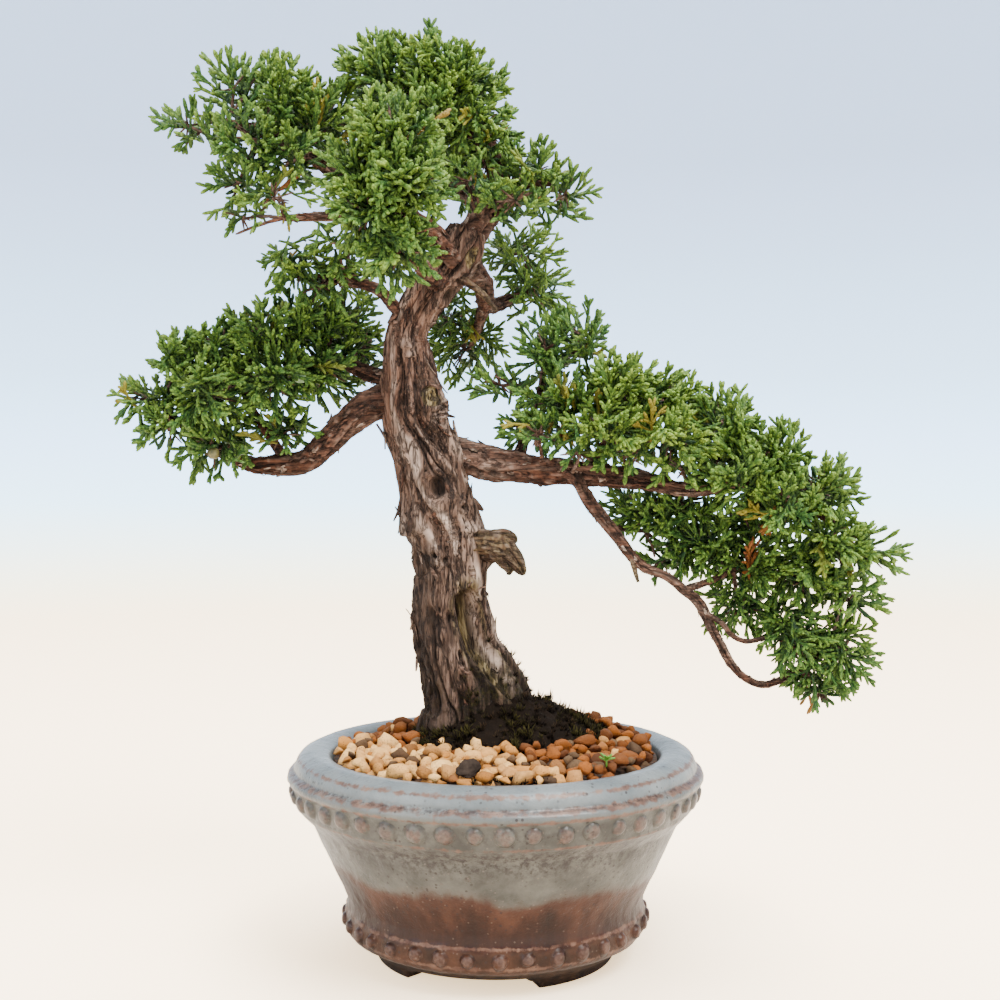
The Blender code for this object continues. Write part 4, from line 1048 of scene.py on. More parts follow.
def simple_material(name, dark, light, scale, rough, height=0.0002, **surface):
    """A mottled, slightly toothed finish for small pieces."""
    f = Finish(name, **surface)
    colour = f.group(MOTTLE, Scale=scale, Contrast=0.5, Dark=dark, Light=light)["Colour"]
    grain = f.group(GRAIN, Scale=scale * 3, Height=1.0, Rough_Low=rough[0], Rough_High=rough[1])
    return f.done(colour, grain["Roughness"], f.bump(grain["Height"], height, 0.6))


GLAZE = glaze_material()
OLD_BARK, YOUNG_BARK = bark_material("old_bark", True), bark_material("young_bark", False)
SHOOTS, GRIT, MOSS = shoot_material(), gravel_material(), moss_material()
SCATTER, GROW = scatter_tree(), shoot_tree()


# ------------------------------------------------------------------ the pot
def finer(profile, step):
    """Rounds the corners of a profile and adds points along it."""
    p = np.array(profile, float)
    out = []
    for i in range(len(p) - 1):
        count = max(1, int(np.ceil(np.linalg.norm(p[i + 1] - p[i]) / step)))
        for t in np.arange(count) / count:
            out.append(p[i] + (p[i + 1] - p[i]) * t)
    out.append(p[-1])
    out = np.array(out)
    for _ in range(2):
        out[1:-1] = out[1:-1] * 0.5 + (out[:-2] + out[2:]) * 0.25
    return out


def foot_gap(turn):
    """1 in the middle of an opening between feet, 0 over a foot, with cloud-shaped shoulders."""
    away = np.abs((turn - POT_TURN + math.pi / 3) % (2 * math.pi / 3) - math.pi / 3)
    step = 0.62 * ease(GAP_HALF, GAP_HALF - math.radians(2.4), away)
    return step + 0.38 * ease(GAP_HALF - math.radians(5.0), GAP_HALF - math.radians(9.0), away)


def wall_noise(turn, height, around, up, seed):
    """Noise over the pot's wall; larger numbers give smaller lumps."""
    places = np.stack([np.cos(turn) * around, np.sin(turn) * around, height * up], 2)
    return layered(places.reshape(-1, 3), seed, 3).reshape(height.shape)


def make_pot():
    """Turned pot; its turn runs from the front, positive to the right."""
    sides = 300
    inside = [(66.6, 73.9), (63.4, 73.9), (60.2, RIM), (RIM_INNER, 71.4), (RIM_INNER, 64.0), (56.4, 50.0)]
    inside += [(r - WALL, z) for r, z in OUTSIDE[::-1] if 17.0 < z < 46.0]
    inside += [(44.0, FLOOR_TOP), (DRAIN, FLOOR_TOP), (DRAIN, FLOOR_LOW)]
    inside += [(FOOT_INNER - 0.8, FLOOR_LOW), (FOOT_INNER, 0.0)]
    outer, inner = finer(OUTSIDE, 0.8), finer(inside, 2.0)
    profile = np.vstack([outer, inner])
    rings, outer_rings = len(profile), len(outer)
    turn = 2 * math.pi * np.arange(sides) / sides
    turns = np.repeat(turn[None], rings, 0)
    r = np.repeat(profile[:, :1], sides, 1)
    h = np.repeat(profile[:, 1:], sides, 1)
    wobble = wall_noise(turns, h, 2.2, 0.05, 3)
    lumps = wall_noise(turns, h, 19.8, 0.22, 8)
    # 1 on the glazed wall, 0 on the bare foot and inside
    on = np.zeros((rings, 1))
    on[:outer_rings, 0] = ease(6.0, 9.0, outer[:, 1])
    on[outer_rings:outer_rings + 9] = 1.0
    r = r + (wobble * 0.45 + lumps * 0.28) * on
    # The top of the base band runs in soft waves
    wave = np.sin(turn * 35 + 1.0) * 0.25 + np.sin(turn * 11) * 0.2
    r = r + wave * bell(h, 17.4, 1.0) * on
    # A thrown groove over the ridge, and the soft lower lip of the stud band
    r = r - 0.45 * bell(h, 67.6, 0.7) * on
    r = r + 0.35 * bell(h, 54.9, 0.7) * on
    # Feet: the ring is lifted between them
    lift = foot_gap(turn) * FOOT_HEIGHT
    ring = (r > FOOT_INNER - 2.0) & (r < 52.0)
    z = np.where((h < lift) & ring, lift + h * 0.05, h)
    points = np.stack([r * np.sin(turn), -r * np.cos(turn), z], 2).reshape(-1, 3)
    outside = (np.arange(rings) < outer_rings)[:, None]
    bare = np.where(outside, ease(9.4, 7.6, h + 0.8 * lumps), 1.0 - on)
    edge = np.maximum.reduce([bell(h - 0.4 * wobble, *line) for line in WORN_EDGES])
    edge = edge * outside * (0.75 + 0.5 * wobble)
    # Grime and painted shade in the hollows under the rim and below the stud band
    grime = sum(amount * bell(h, level, width) for level, width, amount in GRIME_AND_SHADE) * outside
    marks = {
        "height": h, "edge": edge, "bare": np.clip(bare, 0, 1), "grime": np.clip(grime, 0, 1),
        "lift": h * 0,
    }
    marks = {key: value.ravel() for key, value in marks.items()}
    # The last ring joins the first
    faces = np.array(ring_faces(rings + 1, sides)) % (rings * sides)
    return paint(make_object("pot_body", points + AXIS, faces.tolist(), marks), GLAZE)


def stud_shape():
    """A pressed clay button with a soft skirt and a raised, worn top."""
    sides = 16
    # Radius, height and how worn
    rings = [
        (4.5, -1.0, 0), (3.9, -0.1, 0), (3.1, 0.35, 0.1), (2.7, 0.95, 0.4), (2.2, 1.5, 0.8),
        (1.25, 1.8, 1.0),
    ]
    points, lift = [], []
    for r, z, worn in rings:
        for j in range(sides):
            a = 2 * math.pi * j / sides
            points.append((r * math.cos(a), r * math.sin(a), z))
            lift.append(worn)
    return make_object("stud", points, tube_faces(len(rings), sides), {"lift": np.array(lift)})


def make_studs():
    """Both rows of studs, each pressed on by hand a little unevenly."""
    rng = np.random.default_rng(4)
    rows = Rows()
    for count, start, radius, z, slope, scale in STUD_ROWS:
        for i in range(count):
            turn = 2 * math.pi * (i + start + rng.uniform(-0.07, 0.07)) / count
            out = np.array([math.sin(turn), -math.cos(turn), 0])
            at = out * radius + (0, 0, z + rng.uniform(-0.35, 0.35))
            size = scale * rng.uniform(0.88, 1.1)
            stretch = (size * rng.uniform(0.92, 1.08), size, rng.uniform(0.8, 1.05))
            rows.add(at=at, way=unit(out + (0, 0, slope)), size=stretch, height=z)
    return scatter("pot_studs", [stud_shape()], rows, GLAZE, 3, edge=0.25, bare=0, grime=0.35)


# ------------------------------------------------------------------ wood
def wood_relief(s, turn, radius, seed, strip=3.3):
    """Height of twisting strips, flakes and fibres, with masks for cracks and highs."""
    k = radius / strip
    around = round_places(turn, s, k, 44.0)
    warp = layered(round_places(turn, s, 1.7, 19.0), seed + 5, 2)
    around[:, 0] += warp * 1.1
    around[:, 1] += warp * 0.9
    strips = value_noise(around, seed)
    second = value_noise(around * (2.1, 2.1, 1.7) + 9.0, seed + 1)
    flakes = layered(round_places(turn, s, k * 1.6, 5.5), seed + 2, 2)
    fibre = layered(round_places(turn, s, k * 4.0, 7.0), seed + 3, 2)
    height = 1.35 * np.clip(strips + 0.15, -0.7, 0.75) + 0.7 * second
    height = height + 0.4 * np.where(flakes > 0.12, flakes, 0) + 0.2 * fibre
    crack = ease(0.2, 0.0, np.abs(strips + 0.28)) * ease(-0.7, -0.1, warp + 0.3 * second)
    crack = np.maximum(crack, 0.6 * ease(0.13, 0.0, np.abs(second + 0.3)))
    high = ease(0.25, 0.95, strips + 0.35 * flakes + 0.2 * second)
    return [a.reshape(s.shape) for a in (height - 1.8 * crack, crack, high, fibre)]


def trunk_piece():
    """The trunk, and its surface with the turn and height of each point."""
    path, radii = smooth_path(TRUNK, 0.5)
    sides = 200
    along, right, _ = ring_frames(path)
    front = -unit(np.cross(along, right))
    rings = len(path)
    turn = 2 * math.pi * np.arange(sides) / sides - math.pi
    T, S = np.meshgrid(turn, np.arange(rings) * 0.5)
    Z = np.repeat(path[:, 2][:, None], sides, 1)
    R = np.repeat(radii[:, None], sides, 1)
    # A root spreads out to the right below the hollow
    flare, flare_r = smooth_path(FLARE, 0.5)
    for i in range(rings):
        z = path[i, 2]
        if z > 111.0:
            continue
        j = int(np.argmin(np.abs(flare[:, 2] - z)))
        off = flare[j] - path[i]
        d = math.hypot(off[0], off[1])
        at = math.atan2(off[0], -off[1])
        reach = d + flare_r[j]
        if reach > radii[i]:
            gap = np.abs(turn_from(turn, at))
            wide = max(0.32, math.asin(min(1, flare_r[j] / max(d, flare_r[j] + 0.1)))) * 1.5
            R[i] = R[i] + (reach - radii[i]) * bell(gap, 0, wide) * ease(111.0, 104.0, z)
    # Flat flutes and muscle along the whole trunk
    big = layered(round_places(T, S, 1.3, 42.0), 31, 3).reshape(T.shape)
    R = R * (1 + 0.1 * big) - 0.9 * ease(150, 190, Z)
    twist = T + S * 0.008
    bend, knot_high, pit, scar = (np.zeros_like(T) for _ in range(4))
    for z0, degrees, size, raised, deep, rings_on in KNOTS:
        u = turn_from(T, math.radians(degrees)) * R
        v = Z - z0
        q = np.hypot(u, v * 0.85) / size
        bend += -np.sign(u) * np.minimum(np.abs(u), size * 1.3) * bell(q, 0, 1.7) * 0.75
        places = np.stack([u.ravel() / size, v.ravel() / size, q.ravel()], 1)
        rim = 0.16 * layered(places, int(z0), 2).reshape(T.shape)
        knot_high += raised * (bell(q + rim, 1.05, 0.34) + 0.45 * bell(q + rim, 1.75, 0.3))
        knot_high -= deep * ease(0.8, 0.35, q + rim)
        pit = np.maximum(pit, (1.0 if deep > 0.5 else 0.35) * ease(0.78, 0.45, q + rim) * (deep > 0))
        pit = np.maximum(pit, 0.75 * bell(q + rim, 1.42, 0.1))
        if rings_on:
            knot_high += 0.35 * np.cos(q * 14) * ease(0.95, 0.75, q) + raised * 0.45 * ease(0.9, 0.6, q)
            scar = np.maximum(scar, ease(0.95, 0.75, q))
    strips, crack, high, fibre = wood_relief(S, twist + bend / np.maximum(R, 4), 13.0, 2)
    # Rough plates low on the left, smoother pale strips to the right of them
    rough = ease(-0.15, -0.7, T) * ease(2.6, 2.0, -T) * ease(168.0, 140.0, Z)
    plates = layered(round_places(T, S, 7.5, 3.6), 77, 3).reshape(T.shape)
    R = R + rough * (1.5 * np.where(plates > 0, plates, plates * 0.5) + 0.3)
    # The old wound: an arched hollow with a flaky lip
    centre = np.interp(Z, (88, 97, 108, 120, 131.5), np.radians((60, 49, 39, 33, 28)))
    at_heights, half_widths = (86, 90, 96, 104, 115, 124, 129.5, 133, 134), (
        0.1, 2.6, 4.0, 5.4, 5.8, 5.6, 4.4, 1.5, 0.1,
    )
    half = np.interp(Z, at_heights, half_widths)
    u = turn_from(T, centre) * R
    inside = np.clip(1 - np.abs(u) / half, 0, 1)
    depth = ease(0.0, 0.5, inside) * np.interp(Z, (86, 96, 112, 128, 134), (1.0, 3.6, 6.4, 6.8, 3.0))
    lip = bell(np.abs(u) - half, 0.5, 0.9) * ease(86, 94, Z) * ease(138.5, 133.0, Z)
    cap = bell(Z, 134.2, 2.2) * bell(u, 0, 5.2)
    R = R - depth + (0.9 + 0.7 * fibre) * lip + (2.0 + 1.6 * fibre) * cap
    strips = np.where(depth > 0.5, 0.55 * fibre + 0.35 * np.cos(u * 3.1), strips)
    hole = ease(0.15, 0.5, inside)
    # Wrinkles across the grain below the ledge and under the big knots
    for z0, degrees, across, tall, amount in WRINKLES:
        u = turn_from(T, math.radians(degrees)) * R
        here = bell(u, 0, across) * bell(Z, z0, tall)
        R = R + here * amount * np.cos(Z * 3.4 + u * 0.3)
    for z0, degrees, across, tall, out in SHELVES:
        u = turn_from(T, math.radians(degrees)) * R
        shelf = bell(u, 0, across) * bell(Z, z0, np.where(Z < z0, tall * 0.35, tall * 2.2))
        R = R + out * shelf * (1 + 0.5 * fibre)
        high = np.maximum(high, 0.8 * shelf)
    relief = strips * np.interp(Z, (60, 120, 215, 262), (1.1, 1.05, 0.85, 0.7)) + knot_high
    R = R + relief * ease(61.0, 70.0, Z)
    points = tube_points(path, R, T, front, right)
    dark = np.maximum(rough * 0.75 * ease(-0.3, 0.25, plates + 0.5), pit)
    dark = np.maximum(dark, 0.8 * hole * ease(0.25, -0.35, fibre))
    damp = 0.95 * ease(110.0, 86.0, Z + 8 * fibre + 14 * bell(T, 0.75, 0.3))
    dark = np.maximum(dark, damp * ease(-0.5, 0.3, np.sin(T) + 0.3 * big))
    bare = np.maximum.reduce([hole, 0.75 * lip, 0.85 * cap, scar])
    moss = ease(112.0, 80.0, Z) * ease(-0.5, 0.4, np.sin(T)) + 0.35 * ease(120.0, 84.0, Z)
    red = ease(150.0, 235.0, Z) * 0.9 + 0.5 * ease(-0.1, -0.55, T) * ease(130, 160, Z)
    red = red + 0.85 * bell(T, 0.05, 0.2) * ease(108, 95, Z)
    groove = crack * 0.9 * (1 - hole)
    shown = {"high": high, "groove": groove, "bare": bare, "dark": dark, "red": red, "moss": moss}
    marks = {key: np.clip(value, 0, 1).ravel() for key, value in shown.items()}
    marks["fibre"] = fibre.ravel() * 0.5
    obj = make_object("trunk", points.reshape(-1, 3) + AXIS, tube_faces(rings, sides), marks)
    return paint(obj, OLD_BARK), (points, T, Z)


def branch_piece():
    """Every branch as a tapering flaky limb; returns the mesh and where bark may peel."""
    points, faces, peel, rows = [], [], [], Rows()
    for n, (name, stations) in enumerate(BRANCHES.items()):
        thick = stations[0][3]
        stout = thick > 3.9
        sides = 56 if stout else 30 if thick > 1.8 else 16
        step = 0.65 if stout else 0.85
        path, radii = smooth_path(stations, step)
        lean = np.arange(len(path)) * step
        places = [np.stack([lean / 9.0, lean * 0 + n * 3.1 + axis, lean * 0], 1) for axis in range(3)]
        sway = np.stack([value_noise(place_at, 50 + n) for place_at in places], 1)
        path = path + sway * (0.35 * np.minimum(1, radii / 1.5) * ease(0, 6, lean))[:, None]
        along, right, front = ring_frames(path)
        turn = 2 * math.pi * np.arange(sides) / sides
        T, S = np.meshgrid(turn, lean)
        R = np.repeat(radii[:, None], sides, 1)
        big = layered(round_places(T, S, 1.2, 7.0), 90 + n, 3).reshape(T.shape)
        widest, strip = max(radii.max(), 2.0), 2.0 if stout else 1.5
        relief, crack, high, fibre = wood_relief(S * 1.8, T + S * 0.02, widest, 11 + n, strip)
        scales = value_noise(round_places(T, S, 2.6, 1.7), 140 + n).reshape(T.shape)
        flakes = 0.3 * np.minimum(R * 0.35, 1) * np.where(scales > 0, scales, 0)
        R = R * (1 + (0.22 if stout else 0.13) * big) + relief * np.minimum(0.2 * R, 0.62) + flakes
        skin = tube_points(path, R, T, right, front)
        faces += tube_faces(len(path), sides, sum(len(p) for p in points))
        points.append(skin.reshape(-1, 3))
        dead = name.startswith(("stub", "dead", "grey"))
        bare = 0.55 + 0.35 * ease(0.4, 1, S / max(lean[-1], 1)) if dead else 0.0 * S
        # Painted shade on the first 9 mm of the main branches, where they leave the trunk
        shade = 0.55 * ease(9, 0, S) if name in ("right", "left", "left_upper", "back_right") else 0.0 * S
        rows.add(
            high=np.clip(high * 0.8 + 0.6 * ease(0.3, 0.7, scales), 0, 1).ravel(),
            groove=np.clip(crack * 0.9 + 0.3 * ease(0.0, -0.5, scales), 0, 1).ravel(),
            bare=np.clip(bare * ease(-0.5, 0.5, big + 0.3), 0, 1).ravel(),
            dark=np.clip(shade + 0.3 * ease(0.1, 0.6, -big), 0, 1).ravel(),
            red=np.full(S.size, 0.1 if dead else 1.0), moss=np.zeros(S.size), fibre=fibre.ravel() * 0.5,
        )
        if radii[0] > 1.2 and not dead:
            peel.append((skin, path, along))
    marks = {key: np.concatenate(value) for key, value in rows.lists.items()}
    obj = paint(make_object("branches", np.vstack(points) + AXIS, faces, marks), YOUNG_BARK)
    return obj, peel


def strip_shapes():
    """Thin curled slivers of bark, lying along X and lifting at one end."""
    shapes = []
    rng = np.random.default_rng(12)
    for n in range(6):
        steps, points = 5, []
        curl, side = rng.uniform(0.12, 0.42), rng.uniform(-0.12, 0.12)
        for i in range(steps + 1):
            t = i / steps
            wide = 0.16 * (0.35 + 0.65 * math.sin(math.pi * min(1, 0.15 + t * 0.8)))
            x, up = t - 0.2, curl * t**2.6 - 0.03
            y = side * t * t + rng.uniform(-0.012, 0.012)
            cup, thick = 0.035, 0.05
            points += [(x, y - wide, up + cup), (x, y, up), (x, y + wide, up + cup), (x, y, up - thick)]
        faces = [face[::-1] for face in tube_faces(steps + 1, 4)]
        shapes.append(make_object(f"sliver_{n}", points, faces))
    return shapes


def peeling_piece(surface, peel):
    """Slivers of bark that lift off the trunk and the branches."""
    rng = np.random.default_rng(8)
    grid, T, Z = surface
    rings, sides, _ = grid.shape
    rows = Rows()

    def put(at, out, run, size, tone):
        rows.add(at=at, way=out, facing=run, size=size)
        rows.add(
            high=ease(0.35, 0.9, tone), bare=0.25 * ease(0.8, 1.0, tone),
            dark=ease(0.35, 0.05, tone) * 0.8,
        )

    def curl(length, width):
        return length, width, length * rng.uniform(0.3, 0.75)

    def ways(i, j):
        """Ways up along the trunk and straight out of it."""
        run = unit(grid[min(i + 4, rings - 1), j] - grid[i - 4, j])
        return run, unit(np.cross(grid[i, (j + 2) % sides] - grid[i, j - 2], run))

    for _ in range(210):
        i, j = int(rng.integers(22, rings - 6)), int(rng.integers(0, sides))
        in_hollow = 88 < Z[i, j] < 133 and 0.2 < T[i, j] < 0.95
        if in_hollow or abs(T[i, j]) < 0.8 and rng.uniform() < 0.6:
            continue
        run, out = ways(i, j)
        run = unit(run + 0.28 * rng.normal(size=3) - out * 0.05) * rng.choice((-1, 1), p=(0.6, 0.4))
        length = rng.uniform(2.5, 7.5) * (1.25 if -1.9 < T[i, j] < -0.5 else 1)
        width, tone = length * rng.uniform(0.8, 1.7), rng.uniform()
        put(grid[i, j] + out * 0.05, out, run, curl(length, width), tone)
    for z0, degrees, length, down, lift in SLIVERS:
        i = int(np.argmin(np.abs(Z[:, 0] - z0)))
        j = int(np.argmin(np.abs(T[i] - math.radians(degrees))))
        run, out = ways(i, j)
        put(grid[i, j], out, run * down, (length, length * 0.8, length * lift), 0.85)
    for skin, path, line in peel:
        for _ in range(max(4, int(len(path) * 0.8))):
            i, j = int(rng.integers(2, skin.shape[0] - 2)), int(rng.integers(0, skin.shape[1]))
            out = unit(skin[i, j] - path[i])
            run = unit(line[i] + 0.3 * rng.normal(size=3)) * rng.choice((-1, 1))
            fat = np.linalg.norm(skin[i, j] - path[i])
            length = rng.uniform(0.8, 1.5) * min(2.6, 0.8 + fat * 0.5)
            width, tone = length * rng.uniform(1.0, 2.2), rng.uniform()
            put(skin[i, j], out, run, curl(length, width), tone)
    red = rng.uniform(0.2, 1, len(rows.lists["at"]))
    return scatter(
        "peeling_bark", strip_shapes(), rows, YOUNG_BARK, 5, True, groove=0, red=red, moss=0, fibre=0,
    )


# ------------------------------------------------------------------ foliage
def grow_spray(rng, base, direction, length, flat, store, look):
    """One spray: a leading shoot of a few joints with side shoots and short lobes in a loose plane."""
    joints = max(2, int(round(length / 4.6)))
    piece = length / joints
    plane = unit(np.cross(direction, flat))
    point, heading, side = base, direction, 1
    thick = look["thick"]
    for i in range(joints):
        heading = unit(heading + 0.14 * rng.normal(size=3) + look["rise"])
        last = i == joints - 1
        size = thick * (0.84 + 0.16 * i / joints)
        store(point, heading, piece * 1.08, size, look, 1.0 if last else 0.45)
        for _ in range(2 if i else 1):
            side = -side
            reach = (length - i * piece) * rng.uniform(0.42, 0.68)
            reach = min(max(reach, 3.4), 9.0)
            start = point + heading * piece * rng.uniform(0.25, 0.95)
            swing = rng.uniform(0.38, 0.7)
            wander = 0.32 * rng.normal(size=3)
            way = unit(heading * math.cos(swing) + (plane * side + wander) * math.sin(swing))
            store(start, way, reach, size * 0.94, look, 1.0)
            lobes = 2 if reach > 5.2 else 1 if reach > 3.8 else 0
            for m in range(lobes):
                here = start + way * reach * rng.uniform(0.3, 0.75)
                fork = unit(way * 0.9 + (plane * (1 if m else -1) + 0.5 * rng.normal(size=3)) * 0.45)
                store(here, fork, rng.uniform(2.6, 5.0), size * 0.92, look, 1.0)
        point = point + heading * piece
    for m in (-1, 1):
        here = point - heading * rng.uniform(0.6, 1.6)
        fork = unit(heading * 0.9 + (plane * m + 0.35 * rng.normal(size=3)) * 0.42)
        store(here, fork, rng.uniform(2.8, 5.2), thick * 0.95, look, 1.0)


def foliage_piece(name, groups, full, seed):
    """Sprays all over the clumps of some groups, with dark twiglets inside."""
    rng = np.random.default_rng(seed)
    rows = Rows()
    heart = np.array([clump for group in groups for clump in CLUMPS[group]])[:, :3].mean(0)

    def store(point, way, length, thick, look, fresh):
        reach = np.linalg.norm((point + way * length - look["middle"]) / look["radii"])
        rows.add(at=point, way=way, length=length, thick=thick * rng.uniform(0.9, 1.1))
        rows.add(tint=min(1, max(0, look["tint"] + rng.normal() * 0.12)), age=look["age"])
        # deep tells how far inside its clump a shoot lies, for painted shade
        rows.add(fresh=fresh * look["fresh"], deep=float(np.clip(1.15 - reach, 0, 1)))

    for group in groups:
        fullness, longer, thicker, rise, fresh, tint, old = LOOKS[group]
        for clump in CLUMPS[group]:
            middle, radii = np.array(clump[:3]), np.array(clump[3:])
            # Its outside is close to that of an ellipsoid
            wide, deep, tall = radii
            area = ((wide * deep) ** 1.6 + (wide * tall) ** 1.6 + (deep * tall) ** 1.6) / 3
            count = int(SPRAYS_PER_MM2 * 4 * math.pi * area ** (1 / 1.6) * fullness * full)
            for i in range(count):
                # Even spread over the clump, thinner underneath
                up = 1 - 2 * (i + 0.5) / count
                a = i * 2.39996 + rng.uniform(-0.3, 0.3)
                flat = math.sqrt(max(0, 1 - up * up))
                out = np.array([flat * math.cos(a), flat * math.sin(a), up])
                if out[2] < -0.5 and rng.uniform() < 0.35 and group != "hanging":
                    continue
                surface = middle + out * radii
                away = unit(surface - heart)
                spread = unit(out / radii) * 0.62 + away * 0.42 + np.array([0, 0, rise])
                direction = unit(spread + 0.16 * rng.normal(size=3))
                reach = float(np.linalg.norm(out * radii))
                length = min(22.0, max(8.0, reach * rng.uniform(0.62, 0.95))) * longer
                tip = surface + direction * rng.uniform(-1.5, 1.2)
                age = rng.uniform(0.35, 1.0) if rng.uniform() < old else rng.uniform(0, 0.2)
                # Shoots on the top of a clump get a yellower, lighter tint and those underneath a darker one:
                # painted light and shade
                look = {
                    "thick": 0.84 * thicker * rng.uniform(0.88, 1.1), "rise": np.array([0, 0, rise * 0.4]),
                    "fresh": fresh * rng.uniform(0.6, 1.25), "age": age, "middle": middle, "radii": radii,
                    "tint": tint + 0.25 * (out[2] * 0.5) + rng.normal() * 0.16,
                }
                grow_spray(rng, tip - direction * length, direction, length, rng.normal(size=3), store, look)
            for _ in range(int(count * 0.35)):
                # Dark inner twiglets that stop light showing through; their darkness is painted shade from
                # lying deep in the clump
                out = unit(rng.normal(size=3))
                look = {
                    "fresh": 0.1, "age": rng.uniform(0, 0.3), "middle": middle, "radii": radii,
                    "tint": 0.2,
                }
                base = middle + out * radii * rng.uniform(0.0, 0.45)
                way = unit(out + 0.6 * rng.normal(size=3))
                store(base, way, rng.uniform(4.0, 8.0), 0.85, look, 0.2)
    return grow_shoots(name, rows, SHOOTS, (4, 4), 0.3, 0.07, seed)


def twig_piece():
    """Fine brown twigs that carry the sprays out from the branches."""
    rng = np.random.default_rng(77)
    lines = [smooth_path(stations, 2.0)[0] for name, stations in BRANCHES.items() if name != "stub"]
    lines = np.vstack(lines) + AXIS
    rows = Rows()
    for clump in [clump for clumps in CLUMPS.values() for clump in clumps]:
        middle, radii = np.array(clump[:3]), np.array(clump[3:])
        start = lines[int(np.argmin(np.linalg.norm(lines - middle, axis=1)))]
        for _ in range(2):
            step = (middle + rng.normal(size=3) * 2.0 - start) / 3
            here = start
            for m in range(3):
                leg = step + rng.normal(size=3) * 0.12 * np.linalg.norm(step)
                rows.add(at=here, way=unit(leg), length=np.linalg.norm(leg) * 1.08, thick=0.95 - 0.15 * m)
                here = here + leg
        for _ in range(9):
            out = unit(rng.normal(size=3))
            rows.add(at=middle, way=out, length=float(np.linalg.norm(out * radii)) * 0.55, thick=0.5)
    count = len(rows.lists["at"])
    high, dark = rng.uniform(0, 0.7, count), rng.uniform(0, 0.4, count)
    even = {"groove": 0, "bare": 0, "red": 1, "moss": 0, "fibre": 0}
    return grow_shoots("fine_twigs", rows, YOUNG_BARK, (5, 4), -0.12, 0.12, 9, high=high, dark=dark, **even)


# ------------------------------------------------------------------ top of the pot
def moss_edge(turn):
    """Edge of the moss at each turn round its middle, kept inside the rim."""
    lobes = 1 + 0.05 * np.sin(3 * turn + 1) + 0.03 * np.sin(5 * turn)
    x, y = MOSS_X + MOSS_WIDE * lobes * np.cos(turn), MOSS_Y + MOSS_DEEP * lobes * np.sin(turn)
    trim = np.minimum(1, 55.5 / np.hypot(x, y))
    return x * trim, y * trim


def moss_place(turn, share):
    """A place on the mound: share is 0 in its middle and 1 on its edge."""
    x, y = moss_edge(np.array([turn]))
    return MOSS_X + (float(x[0]) - MOSS_X) * share, MOSS_Y + (float(y[0]) - MOSS_Y) * share


def gravel_top(x, y):
    return RIM + 0.5 + 8.0 * np.exp(-((np.hypot(x - 10.0, y - 26.0) / 32.0) ** 2))


def grain_shapes():
    shapes = []
    for n in range(9):
        bpy.ops.mesh.primitive_ico_sphere_add(subdivisions=2, radius=1.0)
        ball = bpy.context.object
        co = np.array([v.co for v in ball.data.vertices])
        lumps = value_noise(co * 1.15 + n * 7.7, 20 + n) * 0.4 + value_noise(co * 2.4 + n * 3.3, 60 + n) * 0.2
        co = co * (1.08 + lumps)[:, None]
        for m in range(7):
            # A broken face
            spots = [np.array([[n * 3.3 + 0.5, m * 1.7 + 0.5, k + 0.5]]) for k in range(3)]
            face = unit(np.array([value_noise(spot, 7)[0] for spot in spots]) + 0.01)
            past = np.maximum(co @ face - (0.54 + 0.06 * (m % 4)), 0)
            co = co - past[:, None] * face * 0.92
        ball.data.vertices.foreach_set("co", (co * MM).ravel())
        ball.data.polygons.foreach_set("use_smooth", [False] * len(ball.data.polygons))
        ball.name = f"grain_{n}"
        shapes.append(ball)
    return shapes


